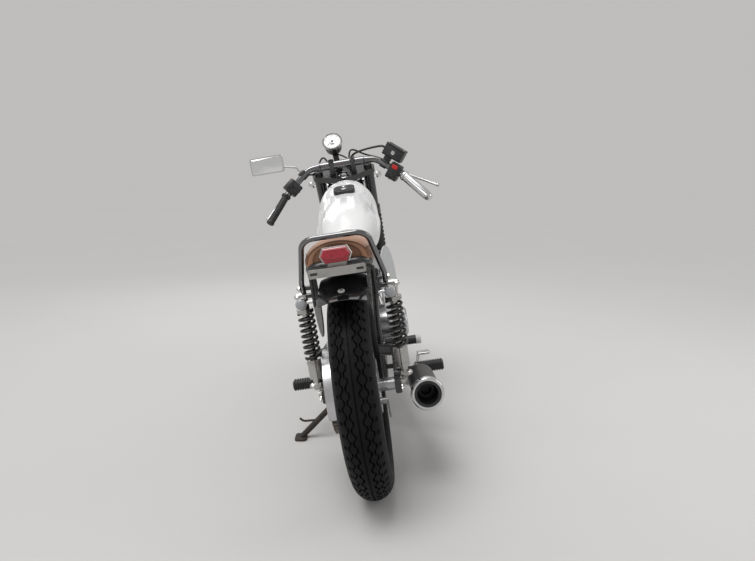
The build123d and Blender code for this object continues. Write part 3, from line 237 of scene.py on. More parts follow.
floor_reach = 14
floor_mesh = bpy.data.meshes.new("floor")
floor_mesh.from_pydata(
    [(x * floor_reach, y * floor_reach, 0) for x, y in ((-1, -1), (1, -1), (1, 1), (-1, 1))],
    [], [(0, 1, 2, 3)])
floor = add_object("floor", floor_mesh)
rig.stage(floor)
concrete = bpy.data.materials.new("pale_concrete")
concrete.use_nodes = True
tree = concrete.node_tree
shader = tree.nodes["Principled BSDF"]
shader.inputs["Roughness"].default_value = 0.9
shader.inputs["Specular IOR Level"].default_value = 0.2
place = add_node(tree, "TexCoord")
cloud = add_node(tree, "TexNoise", Scale=1.4, Detail=6.0)
tone = add_node(tree, "ValToRGB")
tone.color_ramp.elements[0].color = (0.535, 0.525, 0.51, 1)
tone.color_ramp.elements[1].color = (0.56, 0.55, 0.535, 1)
wire(tree, (place.outputs["Object"], cloud.inputs["Vector"]), (cloud.outputs["Fac"], tone.inputs["Fac"]),
     (tone.outputs["Color"], shader.inputs["Base Color"]))
floor_mesh.materials.append(concrete)

world = bpy.data.worlds.new("surround")
bpy.context.scene.world = world
world.use_nodes = True
tree = world.node_tree
path = add_node(tree, "LightPath")
direct = add_node(tree, "Math", "MAXIMUM")
shown = add_node(tree, "Math", "MAXIMUM")
tint = add_node(tree, "Mix")
tint.data_type = "RGBA"
tint.inputs["A"].default_value = (0.50, 0.50, 0.51, 1)
tint.inputs["B"].default_value = (0.52, 0.51, 0.50, 1)
wire(tree, (path.outputs["Is Camera Ray"], direct.inputs[0]),
     (path.outputs["Is Glossy Ray"], direct.inputs[1]), (direct.outputs[0], shown.inputs[0]),
     (path.outputs["Is Transmission Ray"], shown.inputs[1]), (shown.outputs[0], tint.inputs["Factor"]),
     (tint.outputs["Result"], tree.nodes["Background"].inputs["Color"]))

sun_data = bpy.data.lights.new("sun", "SUN")
sun_data.energy = 1.5
sun_data.angle = math.radians(34.0)
add_object("sun", sun_data).rotation_euler = facing(Vector((0.25, -0.30, -1.0)))
lit_spot = Vector((0, 0, 0.5))
for name, spot, size, power in (
        ("lamp_over", (0.2, 0.3, 3.2), 2.4, 16), ("lamp_behind", (-2.6, 1.6, 2.4), 1.4, 12),
        ("lamp_right", (-0.6, -2.8, 1.9), 1.6, 12), ("lamp_front", (2.6, 0.8, 2.2), 1.8, 12)):
    lamp_data = bpy.data.lights.new(name, "AREA")
    lamp_data.size = size
    lamp_data.energy = power
    lamp = add_object(name, lamp_data)
    lamp.location = spot
    lamp.rotation_euler = facing(lit_spot - lamp.location)

# Used surface: the patches of wear, uneven gloss and fine grain that every finish
# on the machine shows in its own measure, as one shared node group.
used_surface = bpy.data.node_groups.new("used_surface", "ShaderNodeTree")
color_socket = "NodeSocketColor"
value_socket = "NodeSocketFloat"
middle_grey = (0.5, 0.5, 0.5, 1)
for socket, kind, value in (
        ("Color", color_socket, middle_grey), ("Worn Color", color_socket, middle_grey),
        ("Wear", value_socket, 0.3), ("Patches", value_socket, 12.0), ("Roughness", value_socket, 0.4),
        ("Spread", value_socket, 0.1), ("Grain", value_socket, 800.0)):
    entry = used_surface.interface.new_socket(name=socket, in_out="INPUT", socket_type=kind)
    entry.default_value = value
for socket, kind in (("Color", color_socket), ("Roughness", value_socket), ("Height", value_socket)):
    used_surface.interface.new_socket(name=socket, in_out="OUTPUT", socket_type=kind)
given = used_surface.nodes.new("NodeGroupInput").outputs
result = used_surface.nodes.new("NodeGroupOutput").inputs
spot = add_node(used_surface, "TexCoord").outputs["Object"]
patches = add_node(used_surface, "TexNoise", Detail=7.0, Roughness=0.62)
edges = add_node(used_surface, "MapRange", From_Min=0.48, From_Max=0.72)
amount = add_node(used_surface, "Math", "MULTIPLY")
mix = add_node(used_surface, "Mix")
mix.data_type = "RGBA"
gloss = add_node(used_surface, "TexNoise", Scale=38.0, Detail=5.0)
centred = add_node(used_surface, "Math", "SUBTRACT")
centred.inputs[1].default_value = 0.5
spread = add_node(used_surface, "Math", "MULTIPLY")
total = add_node(used_surface, "Math", "ADD")
total.use_clamp = True
grain = add_node(used_surface, "TexNoise", Detail=3.0)
wire(used_surface, (spot, patches.inputs["Vector"]), (given["Patches"], patches.inputs["Scale"]),
     (patches.outputs["Fac"], edges.inputs["Value"]), (edges.outputs["Result"], amount.inputs[0]),
     (given["Wear"], amount.inputs[1]), (amount.outputs[0], mix.inputs["Factor"]),
     (given["Color"], mix.inputs["A"]), (given["Worn Color"], mix.inputs["B"]),
     (mix.outputs["Result"], result["Color"]), (spot, gloss.inputs["Vector"]),
     (gloss.outputs["Fac"], centred.inputs[0]), (centred.outputs[0], spread.inputs[0]),
     (given["Spread"], spread.inputs[1]), (spread.outputs[0], total.inputs[0]),
     (given["Roughness"], total.inputs[1]), (total.outputs[0], result["Roughness"]),
     (spot, grain.inputs["Vector"]), (given["Grain"], grain.inputs["Scale"]),
     (grain.outputs["Fac"], result["Height"]))


def make_finish(name, color, worn, wear, patches, roughness, spread, grain, relief, **shader_values):
    # a finish of its own: base and worn colour, gloss, grain, and the shader's plain values
    material = bpy.data.materials.new(name)
    material.use_nodes = True
    tree = material.node_tree
    shader = tree.nodes["Principled BSDF"]
    surface = add_node(tree, "Group")
    surface.node_tree = used_surface
    values = ((*color, 1), (*worn, 1), wear, patches, roughness, spread, grain)
    for socket, value in zip(surface.inputs, values):
        socket.default_value = value
    bump = add_node(tree, "Bump", Strength=relief, Distance=0.0006)
    wire(tree, (surface.outputs["Color"], shader.inputs["Base Color"]),
         (surface.outputs["Roughness"], shader.inputs["Roughness"]),
         (surface.outputs["Height"], bump.inputs["Height"]), (bump.outputs["Normal"], shader.inputs["Normal"]))
    for socket, value in shader_values.items():
        shader.inputs[socket.replace("_", " ")].default_value = value
    return material


# Tyres: moulded rubber on a tube, with a centre groove, two zigzag grooves on
# each side and notched shoulders. The tread is cut into a ring of mesh whose
# lines follow the grooves.
tyre_rubber = make_finish(
    "tyre_rubber", (0.003, 0.003, 0.0034), (0.014, 0.013, 0.012), 0.5, 9, 0.58, 0.25, 700, 0.35,
    Specular_IOR_Level=0.14)
front_left = Vector(joints["front_wheel_spin"]["axis"]).normalized()
front_hub = Vector(joints["front_wheel_spin"]["pos_m"])
tread_half = 95.8
tread = [  # arc distance from the crown, depth, share of the zigzag, 1 where notched
    (0, 5.5, 0, 0), (1.8, 5.5, 0, 0), (2.4, 0, 0, 0), (8, 0, 0.2, 0), (14.4, 0, 1, 0), (15.2, 6, 1, 0),
    (19.8, 6, 1, 0), (20.6, 0, 1, 0), (26, 0, 0, 0), (32.4, 0, -1, 0), (33.2, 5.5, -1, 0),
    (37.2, 5.5, -1, 0), (38, 0, -1, 0), (44, 0, -0.4, 0), (46, 0, 0, 1), (52, 0, 0, 1), (58, 0, 0, 1),
    (60, 0, 0, 0), (tread_half * 0.76, 0, 0, 0), (tread_half * 0.88, 0, 0, 0), (tread_half, 0, 0, 0)]
tread = [(-arc, *rest) for arc, *rest in reversed(tread[1:])] + tread
zigzag_reach = 4.0
notch_depth = 4.0
steps_a_tooth = 14


def between(first, second, turn):
    # the direction that lies a turn in radians from the first toward the second
    return first * math.cos(turn) + second * math.sin(turn)


def join_rings(faces, first, rows, steps, closed=False):
    # walls between rings of vertices, and caps unless the last ring meets the first
    for row in range(rows if closed else rows - 1):
        low = first + row * steps
        high = first + (row + 1) % rows * steps
        for step in range(steps):
            follow = (step + 1) % steps
            faces.append((low + step, low + follow, high + follow, high + step))
    if not closed:
        faces.append(tuple(range(first, first + steps)))
        faces.append(tuple(range(first + (rows - 1) * steps, first + rows * steps)))


def make_piece(name, shape, material, body, slot, sharp=35, nodes=()):
    # shape: lists of vertices and faces; sharp: the angle in degrees from which edges
    # are crisp; nodes: the CAD nodes it stands for
    mesh = bpy.data.meshes.new(name)
    mesh.from_pydata(shape[0], [], shape[1])
    work = bmesh.new()
    work.from_mesh(mesh)
    bmesh.ops.recalc_face_normals(work, faces=work.faces)
    work.to_mesh(mesh)
    work.free()
    mesh.shade_smooth()
    mesh.set_sharp_from_angle(angle=math.radians(sharp))
    mesh.materials.append(material)
    piece = add_object(name, mesh)
    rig.ride(piece, body)
    if nodes:
        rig.replaces(piece, *nodes)
    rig.slot(piece, slot)
    return piece


def make_tyre(name, node, body, hub, axle, radius, width, seat, bead, teeth):
    squeeze = math.pi * width / 4 / tread_half
    crown = radius - width / 2
    lip = seat + 11.0
    bulge = ((width / 2 + bead) / 2 + 10, (crown + lip) / 2 - 6)
    side_wall = []
    for share in (0.25, 0.5, 0.75, 1.0):
        a, b, c = (1 - share) ** 2, 2 * share * (1 - share), share ** 2
        side_wall.append((a * width / 2 + b * bulge[0] + c * bead, a * crown + b * bulge[1] + c * lip))
    side_wall.append((bead - 0.4, seat + 0.5))
    first = (hub - machine_origin).normalized()
    first = (first - axle * first.dot(axle)).normalized()
    shape = ([], [])
    rows = teeth * steps_a_tooth
    for step in range(rows):
        phase = (step % steps_a_tooth) / steps_a_tooth
        zigzag = max(-1.0, min(1.0, 2.4 * (abs(2 * phase - 1) * 2 - 1))) * zigzag_reach
        outward = between(first, axle.cross(first), 2 * math.pi * step / rows)
        ring = [(-x, r) for x, r in reversed(side_wall)]
        for distance, depth, share, notched in tread:
            arc = (distance + math.copysign(1, distance) * share * zigzag) * squeeze / (width / 2)
            reach = width / 2 - depth - (notch_depth if notched and 0.3 < phase < 0.62 else 0)
            ring.append((math.sin(arc) * reach, crown + math.cos(arc) * reach))
        ring += side_wall
        shape[0].extend(hub + (axle * x + outward * r) * mm for x, r in ring)
    join_rings(shape[1], 0, rows, len(ring), True)
    make_piece(name, shape, tyre_rubber, body, "tyre", 38, (node,))


make_tyre("rear_tread_tyre", "rear_tyre", "rear_wheel", rear_hub, left, rear_radius, 122, 228.6, 38, 56)
make_tyre("front_tread_tyre", "front_tyre", "front_wheel", front_hub, front_left, 325, 92, 241.3, 28, 52)

# Wheels: polished alloy rims laced to cast hubs through plated nipples, with the
# ground steel of the brake disc, sprocket and axles bolted to them.
rim_alloy = make_finish(
    "rim_alloy", (0.50, 0.50, 0.51), (0.24, 0.23, 0.21), 0.45, 20, 0.26, 0.16, 900, 0.05, Metallic=1.0)
ground_steel = make_finish(
    "ground_steel", (0.42, 0.41, 0.40), (0.16, 0.12, 0.09), 0.5, 30, 0.36, 0.2, 1200, 0.12, Metallic=1.0)
plated_steel = make_finish(
    "plated_steel", (0.60, 0.59, 0.57), (0.26, 0.23, 0.19), 0.35, 34, 0.24, 0.14, 1100, 0.06, Metallic=1.0)
fork_ahead = front_left.cross(steering_up).normalized()


def dress(material, *nodes):
    # one finish on every face of CAD nodes
    for node in nodes:
        cad = frame["nodes"][node]
        if not cad.material_slots:
            cad.data.materials.append(material)
        for held in cad.material_slots:
            held.material = material


def add_ring(vertices, middle, side, other, radius, steps):
    # a circle of vertices in the plane of two directions
    for step in range(steps):
        vertices.append(middle + between(side, other, 2 * math.pi * step / steps) * radius * mm)


def lathe(shape, base, axis, profile, steps=32, closed=False):
    # profile rows: radius and height along the axis, in millimetres
    first = len(shape[0])
    side = axis.orthogonal().normalized()
    for radius, height in profile:
        add_ring(shape[0], base + axis * height * mm, side, axis.cross(side), radius, steps)
    join_rings(shape[1], first, len(profile), steps, closed)


def stacked(shape, base, axis, size, *parts):
    # turned parts, each with its steps round and its profile in shares of a size
    for steps, profile in parts:
        lathe(shape, base, axis, [(radius * size, height * size) for radius, height in profile], steps)


def dome_nut(shape, base, axis, size):
    # a washer, a six-sided nut and its domed end
    stacked(shape, base, axis, size, (24, [(1.25, 0), (1.25, 0.12)]),
            (6, [(1.08, 0.1), (1.08, 0.75), (0.98, 0.85)]),
            (20, [(0.88, 0.8), (0.84, 1.1), (0.6, 1.4), (0.2, 1.55)]))


def hex_bolt(shape, base, axis, size):
    stacked(shape, base, axis, size, (20, [(1.2, 0), (1.2, 0.15)]), (6, [(1, 0.12), (1, 0.68), (0.86, 0.8)]))


def cap_screw(shape, base, axis, size):
    stacked(shape, base, axis, size, (18, [(1, 0), (1, 0.8), (0.86, 1), (0.5, 1), (0.46, 0.4)]))


dress(rim_alloy, "rear_wheel", "front_wheel", "brake_plate", "brake_caliper")
dress(ground_steel, "brake_disc", "sprocket", "rear_axle", "front_axle", "pivot_bolt", "drive_sprocket")

rim_drop = 16.3
rim_share = 0.12
spoke_pairs = 18
for name, body, hub, axle, forth, seat_radius, flange in (
        ("rear_nipples", "rear_wheel", rear_hub, left, ahead, 228.6, 37),
        ("front_nipples", "front_wheel", front_hub, front_left, fork_ahead, 241.3, 30)):
    nipples = ([], [])
    reach = seat_radius - rim_drop
    for side, start in ((-1, 0.75), (1, 0.25)):
        for index in range(spoke_pairs):
            outward = between(forth.cross(axle), forth, 2 * math.pi * (index + start) / spoke_pairs)
            lean = (outward * reach - axle * side * flange).normalized()
            seat_spot = hub + (outward * reach + axle * side * flange * rim_share) * mm
            lathe(nipples, seat_spot, -lean, [(3.6, -3), (3.6, 2), (2.9, 4), (2.6, 14)], 8)
    make_piece(name, nipples, plated_steel, body, "steel")

disc_face = 57.1
shape = ([], [])
for index in range(5):
    spoke = between(fork_ahead, steering_up, 2 * math.pi * index / 5)
    for put_bolt, reach, size in ((hex_bolt, 38, 6.5), (cap_screw, 66, 5)):
        put_bolt(shape, front_hub + (front_left * disc_face + spoke * reach) * mm, front_left, size)
make_piece("disc_bolts", shape, plated_steel, "front_wheel", "steel")
sprocket_face = 91.6
shape = ([], [])
for index in range(6):
    spoke = between(ahead, up, 2 * math.pi * (index + 0.5) / 6)
    dome_nut(shape, rear_hub + (left * sprocket_face + spoke * 36) * mm, left, 6.5)
make_piece("sprocket_nuts", shape, plated_steel, "rear_wheel", "steel")

# Chain: side plates in pairs, inner and outer by turns, riveted on pins through
# rollers. It stands for the plain closed loop and runs just inside its edges.
greasy_steel = make_finish(
    "greasy_steel", (0.20, 0.18, 0.15), (0.04, 0.035, 0.03), 0.7, 40, 0.38, 0.25, 1500, 0.2, Metallic=0.9)
chain_pitch = 15.875
chain_line = 88.0
rear_teeth = 48
front_teeth = 16
rear_pitch_radius = chain_pitch / 2 / math.sin(math.pi / rear_teeth)
front_pitch_radius = chain_pitch / 2 / math.sin(math.pi / front_teeth)
radius_step = rear_pitch_radius - front_pitch_radius
links = 108
run_links = links - (rear_teeth + front_teeth) / 2
wrap_links = (rear_teeth - front_teeth) / 2 / math.pi
chain_centres = chain_pitch * (run_links + math.sqrt(run_links ** 2 - 8 * wrap_links ** 2)) / 4
output_height = 345.0
chain_tilt = math.asin((output_height - rear_radius) / chain_centres)
rear_wrap = math.pi + 2 * math.asin(radius_step / chain_centres)
front_wrap = 2 * math.pi - rear_wrap
straight_run = math.sqrt(chain_centres ** 2 - radius_step ** 2)
loop_length = rear_pitch_radius * rear_wrap + front_pitch_radius * front_wrap + 2 * straight_run
chain_ahead = between(ahead, up, chain_tilt)
chain_up = between(up, -ahead, chain_tilt)
plate_round = 6.6
plate_thick = 1.6


def pin_place(travel):
    # from the loop's rearmost point over the top, ahead and up of the rear axle
    half_rear = rear_pitch_radius * rear_wrap / 2
    if travel > loop_length / 2:
        x, z = pin_place(loop_length - travel)
        return x, -z
    if travel < half_rear:
        angle = math.pi - travel / rear_pitch_radius
        return rear_pitch_radius * math.cos(angle), rear_pitch_radius * math.sin(angle)
    if travel < half_rear + straight_run:
        angle = math.pi - rear_wrap / 2
        run = travel - half_rear
        return (rear_pitch_radius * math.cos(angle) + run * math.sin(angle),
                rear_pitch_radius * math.sin(angle) - run * math.cos(angle))
    angle = front_wrap / 2 - (travel - half_rear - straight_run) / front_pitch_radius
    return chain_centres + front_pitch_radius * math.cos(angle), front_pitch_radius * math.sin(angle)


def chain_spot(x, z, y):
    return rear_hub + (chain_ahead * x + chain_up * z + left * y) * mm


def layered(shape, base, across, along, outline, layers):
    # layers: height above the base and how far the outline draws in, in millimetres
    first = len(shape[0])
    normal = across.cross(along).normalized()
    reach = max(max(abs(x), abs(y)) for x, y in outline)
    for height, inset in layers:
        scale = 1 - inset / reach
        for x, y in outline:
            shape[0].append(base + ((across * x + along * y) * scale + normal * height) * mm)
    join_rings(shape[1], first, len(layers), len(outline))


shape = ([], [])
pins = [pin_place(index * loop_length / links) for index in range(links)]
for index, (x, z) in enumerate(pins):
    next_x, next_z = pins[(index + 1) % links]
    length = math.hypot(next_x - x, next_z - z)
    course = (chain_ahead * (next_x - x) + chain_up * (next_z - z)) / length
    outline = []
    for step in range(24):
        # round ends about the pins, and a waist between them
        turn = 2 * math.pi * step / 24
        lengthwise = math.cos(turn)
        waist = plate_round - (1.6 * lengthwise ** 2 if abs(lengthwise) < 0.55 else 0)
        end = math.copysign(length / 2, lengthwise)
        outline.append((waist * math.sin(turn), end + plate_round * lengthwise))
    near = 5.4 if index % 2 else 7.4
    for y in (-near - plate_thick, near):
        layered(shape, chain_spot((x + next_x) / 2, (z + next_z) / 2, chain_line + y),
                left.cross(course), course, outline, [(0, 0), (plate_thick, 0)])
    lathe(shape, chain_spot(x, z, chain_line - 9), left, [(2.4, 0), (2.9, 0.8), (2.9, 17.2), (2.4, 18)], 10)
    lathe(shape, chain_spot(x, z, chain_line - 5), left, [(5, 0), (5, 10)], 14)
make_piece("chain_links", shape, greasy_steel, "frame", "steel", nodes=("chain",))

# Frame, swingarm and fork castings: black enamel, chipped a little to grey, with
# plated nuts at the shock absorbers' eyes and the hoop's ends.
black_enamel = make_finish(
    "black_enamel", (0.012, 0.012, 0.013), (0.05, 0.048, 0.045), 0.3, 16, 0.28, 0.15, 500, 0.06,
    Coat_Weight=0.6, Coat_Roughness=0.12)
dress(black_enamel, "frame", "swingarm", "fork_clamps", "fork_sliders", "headlamp_ears")
shock_low = (28, 356)
shock_high = (20, 645)


def on_machine(x, y, z):
    # millimetres ahead, left and up on the upright machine, to the row's metres
    return machine_origin + (ahead * x + left * y + up * z) * mm


shape = ([], [])
for side in (-1, 1):
    for put_bolt, x, y, z, size in (
            (dome_nut, shock_high[0], 148.5, shock_high[1], 9.5),
            (dome_nut, shock_low[0], 148.5, shock_low[1], 9.5), (dome_nut, -58, 129.5, 682, 7),
            (hex_bolt, -35, 123.2, 336, 5), (hex_bolt, -58, 123.2, 336, 5)):
        put_bolt(shape, on_machine(x, side * y, z), left * side, size)
make_piece("frame_nuts", shape, plated_steel, "frame", "steel")

# Side stand: welded steel tube and foot, the frame's black on them gone dull, with
# brown rust through it.
rusty_black = make_finish(
    "rusty_black", (0.02, 0.017, 0.015), (0.10, 0.05, 0.025), 0.6, 26, 0.7, 0.2, 600, 0.4)
dress(rusty_black, "side_stand")

# Engine: blasted alloy castings with polished covers held by small screws, and the
# flat strut that carries the chain guard.
cast_alloy = make_finish(
    "cast_alloy", (0.30, 0.30, 0.30), (0.14, 0.13, 0.12), 0.5, 14, 0.5, 0.2, 420, 0.5, Metallic=0.9)
polished_alloy = make_finish(
    "polished_alloy", (0.55, 0.55, 0.56), (0.30, 0.29, 0.27), 0.45, 14, 0.24, 0.16, 800, 0.06, Metallic=1.0)
dress(cast_alloy, "crankcase", "cylinder", "cylinder_head", "carburettor")
dress(polished_alloy, "engine_covers", "chain_guard", "plate_bracket", "hand_levers", "foot_controls")
screw_inset = 24
shape = ([], [])
for face, side, centre_x, centre_z, radius, start in (
        (-136.4, -1, 660, 362, 88, 105), (-136.4, -1, 805, 337, 84, -75),
        (128.4, 1, 795, 345, 84, -75), (128.4, 1, 730, 351, 62, 105)):
    reach = radius - screw_inset
    for index in range(4):
        turn = math.radians(start + 50 * index)
        cap_screw(shape, on_machine(
            centre_x + reach * math.cos(turn), face, centre_z + reach * math.sin(turn)), left * side, 4.5)
make_piece("cover_screws", shape, plated_steel, "frame", "steel")
shape = ([], [])
layered(shape, on_machine(75, 100.2, 400), ahead, up, [(-9, -62), (9, -62), (4, 70), (-14, 70)],
        [(0, 0), (2.6, 0)])
hex_bolt(shape, on_machine(75, 103, 346), left, 5.5)
make_piece("guard_strut", shape, polished_alloy, "frame", "polished_alloy")

# Chromed pieces: lamp shells and mirror bright, shock absorbers and header pipe
# aged, bar and hoop smoked. The bar is a bent tube, thicker between its clamps.
bright_chrome = make_finish(
    "bright_chrome", (0.66, 0.66, 0.67), (0.36, 0.35, 0.33), 0.2, 18, 0.09, 0.1, 700, 0.03, Metallic=1.0)
smoked_chrome = make_finish(
    "smoked_chrome", (0.20, 0.20, 0.205), (0.10, 0.10, 0.10), 0.3, 18, 0.14, 0.1, 700, 0.03, Metallic=1.0)
fork_chrome = make_finish(
    "fork_chrome", (0.26, 0.26, 0.22), (0.14, 0.14, 0.12), 0.3, 18, 0.26, 0.1, 700, 0.03, Metallic=1.0)
aged_chrome = make_finish(
    "aged_chrome", (0.46, 0.455, 0.44), (0.15, 0.13, 0.11), 0.6, 15, 0.2, 0.18, 800, 0.1, Metallic=1.0)
dress(bright_chrome, "headlamp", "mirror", "rear_signals", "front_signals")
dress(aged_chrome, "exhaust_pipe", "shock_absorbers")
dress(smoked_chrome, "handlebar", "grab_hoop")
dress(fork_chrome, "fork_tubes")
fork_offset = 52.21
fork_origin = front_hub - fork_ahead * fork_offset * mm
axis_foot_x = 1343.48
axis_foot_z = 301.30
bar_end = (893, 345, 843)
bar_bends = (bar_end, (930, 302, 896), (958, 266, 938), (972, 236, 967), (986, 190, 1006), (996, 158, 1031),
             (1000, 122, 1040.5), (1000, 60, 1041))


def on_fork(x, y, h):
    # millimetres ahead, left and along the steering axis, from the axis's foot
    return fork_origin + (fork_ahead * x + front_left * y + steering_up * h) * mm


def on_bar(x, y, z):
    # a place on the upright machine with the fork straight ahead, steered with it
    forward = (x - axis_foot_x) * math.cos(rake) + (z - axis_foot_z) * math.sin(rake)
    height = (z - axis_foot_z) * math.cos(rake) - (x - axis_foot_x) * math.sin(rake)
    return on_fork(forward, y, height)


def places(where, *spots):
    # each of the spots, taken to the row's metres by one of the functions above
    return [where(*spot) for spot in spots]


def smooth_step(a, b, c, d, t):
    # the point a share t of the way from b to c, on a curve that a and d bend
    return 0.5 * (b * 2 + (c - a) * t + (a * 2 - b * 5 + c * 4 - d) * t * t
                  + (b * 3 - a - c * 3 + d) * t * t * t)


def tube_along(shape, points, radius, steps=10, shares=6):
    # a round tube of a radius in millimetres, on a smooth curve through the points
    ends = [points[0] * 2 - points[1]] + list(points) + [points[-1] * 2 - points[-2]]
    curve = [smooth_step(*four, share / shares)
             for four in zip(ends, ends[1:], ends[2:], ends[3:]) for share in range(shares)]
    curve.append(points[-1].copy())
    first = len(shape[0])
    side = (curve[1] - curve[0]).orthogonal().normalized()
    for index, spot in enumerate(curve):
        course = (curve[min(index + 1, len(curve) - 1)] - curve[max(index - 1, 0)]).normalized()
        side = (side - course * side.dot(course)).normalized()
        add_ring(shape[0], spot, side, course.cross(side), radius, steps)
    join_rings(shape[1], first, len(curve), steps)


shape = ([], [])
tube_along(shape, places(on_bar, *bar_bends, (1000, 0, 1041), *((x, -y, z) for x, y, z in reversed(bar_bends))),
           14.5, 20, 5)
tube_along(shape, places(on_bar, *((1000, y, 1041) for y in (96, 90, -90, -96))), 18.5, 28, 3)
make_piece("thick_bar", shape, smoked_chrome, "steering", "chrome", 50, ("handlebar",))

# Springs: round black wire wound in eight turns between the shock absorbers' cups.
# Each is one tube along a helix.
spring_black = make_finish(
    "spring_black", (0.014, 0.014, 0.015), (0.07, 0.065, 0.06), 0.35, 40, 0.3, 0.2, 900, 0.08)
shock_length = math.hypot(shock_high[0] - shock_low[0], shock_high[1] - shock_low[1])
shock_up = (ahead * (shock_high[0] - shock_low[0]) + up * (shock_high[1] - shock_low[1])) / shock_length
shock_side = 137
cup_low = 88
cup_high = shock_length - 50
wire_radius = 4.5
spring_reach = 22.5
turn_steps = 16
spring_steps = 8 * turn_steps
spring_low = cup_low + wire_radius + 0.3
spring_travel = cup_high - cup_low - 2 * wire_radius - 0.6
shape = ([], [])
for side in (-1, 1):
    base = on_machine(shock_low[0], side * shock_side, shock_low[1])
    route = []
    for step in range(spring_steps + 1):
        outward = between(left, shock_up.cross(left), 2 * math.pi * step / turn_steps)
        height = spring_low + spring_travel * step / spring_steps
        route.append(base + (shock_up * height + outward * spring_reach) * mm)
    tube_along(shape, route, wire_radius, 10, 2)
make_piece("spring_coils", shape, spring_black, "frame", "frame_black", 60, ("shock_springs",))

# Muffler: a short black can with a chromed ring bolted round its open mouth, and a
# baffle with a smaller pipe inside it.
muffler_black = make_finish(
    "muffler_black", (0.014, 0.014, 0.014), (0.05, 0.045, 0.04), 0.5, 22, 0.42, 0.2, 600, 0.12)
dress(muffler_black, "muffler")
muffler_mouth = on_machine(0, -200, 285)
muffler_back = (muffler_mouth - on_machine(300, -188, 262)).normalized()
muffler_side = muffler_back.orthogonal().normalized()
shape = ([], [])
lathe(shape, muffler_mouth, muffler_back, [
    (44.6, -46), (46.8, -44), (53, -20), (54, -12), (53, -3), (50, 1.6), (46, 2.6), (42.6, 0.8), (42, -8),
    (43, -9), (50, -12), (49, -20), (43.6, -43)], 64, True)
for index in range(3):
    outward = between(muffler_side, muffler_back.cross(muffler_side), math.radians(90 + 120 * index))
    hex_bolt(shape, muffler_mouth + (outward * 49 - muffler_back * 32) * mm, outward, 4)
make_piece("muffler_ring", shape, bright_chrome, "frame", "chrome", 50)
shape = ([], [])
lathe(shape, muffler_mouth, muffler_back, [
    (44, -10), (42.4, -6), (40.4, -8), (33.4, -26), (33, -27), (34, -30), (43, -14)], 48, True)
lathe(shape, muffler_mouth, muffler_back, [
    (33.3, -62), (33.3, -59), (26, -56), (19, -56), (18, -70), (17, -70), (18, -59), (26, -60)], 40, True)
make_piece("muffler_baffle", shape, muffler_black, "frame", "muffler_black")

# Crash sliders: satin black rods from the frame, with round plastic caps turned over
# their ends, coloured pale as a painted highlight on their rounded ends.
satin_black = make_finish("satin_black", (0.02, 0.02, 0.021), (0.05, 0.05, 0.05), 0.35, 26, 0.45, 0.2, 900, 0.2)
# pale plastic: the fender ring's own colour, and a painted highlight on the crash sliders' caps
ring_plastic_and_cap_highlight = make_finish(
    "ring_plastic_and_cap_highlight", (0.62, 0.62, 0.60), (0.40, 0.38, 0.35), 0.4, 40, 0.38, 0.15, 900, 0.1)
dress(satin_black, "filler_cap", "seat_pan", "electrics_box", "bar_controls", "gauge", "crash_sliders")
slider_face = 217
shape = ([], [])
for side in (-1, 1):
    lathe(shape, on_machine(505, side * slider_face, 328), left * side, [
        (17.8, -16), (18.4, -14), (18.4, -1), (17, 2.2), (13, 3.6), (8.5, 3.8), (8, 1.4), (5, 1.2)], 40)
# the caps' pale colour is a painted highlight
make_piece("slider_caps", shape, ring_plastic_and_cap_highlight, "frame", "black_plastic", 30)

# Fuel tank: deep white enamel on pressed sheet. A finer copy of the plain tank is
# swelled at its front and pressed in at the knees, each recess with a raised edge.
# Its black filler cap has a plated lock and a small flap.
tank_white = make_finish(
    "tank_white", (0.74, 0.74, 0.735), (0.70, 0.69, 0.675), 0.3, 5, 0.24, 0.06, 300, 0.02,
    Coat_Weight=0.8, Coat_Roughness=0.06)
dress(tank_white, "fuel_tank")
plain_tank = frame["nodes"]["fuel_tank"]
pressed_tank = add_object("pressed_tank", plain_tank.data.copy())
pressed_tank.matrix_world = plain_tank.matrix_world
even_mesh = pressed_tank.modifiers.new("even_mesh", "REMESH")
even_mesh.mode = "VOXEL"
even_mesh.voxel_size = 0.0036
pressed_tank.modifiers.new("softened", "SMOOTH").iterations = 6
bpy.context.view_layer.update()
pressed_tank.data = bpy.data.meshes.new_from_object(
    pressed_tank.evaluated_get(bpy.context.evaluated_depsgraph_get()))
pressed_tank.modifiers.clear()
to_mesh = pressed_tank.matrix_world.to_3x3().inverted()
front_start = 770
front_run = 185
front_widening = 0.30
front_rise = 7.0
crown_start = 800
crown_run = 120
side_start = 70
knee_outline = [(552, 750), (640, 842), (792, 866), (772, 806)]
knee_depth = (7.0, 19.0)
deep_start = 600
deep_run = 170
knee_slope = 8.0
edge_rise = 2.6
edge_half = 4.5


def clamp(value):
    return min(1.0, max(0.0, value))


def ease(value):
    # from 0 to 1 with a soft start and end
    value = clamp(value)
    return value * value * (3 - 2 * value)


def rounded(width, height, radius, steps=6):
    # an outline about its own middle, with round corners
    points = []
    for corner, (cx, cy) in enumerate(((1, 1), (-1, 1), (-1, -1), (1, -1))):
        for step in range(steps + 1):
            turn = math.pi / 2 * (corner + step / steps)
            points.append((cx * (width / 2 - radius) + radius * math.cos(turn),
                           cy * (height / 2 - radius) + radius * math.sin(turn)))
    return points


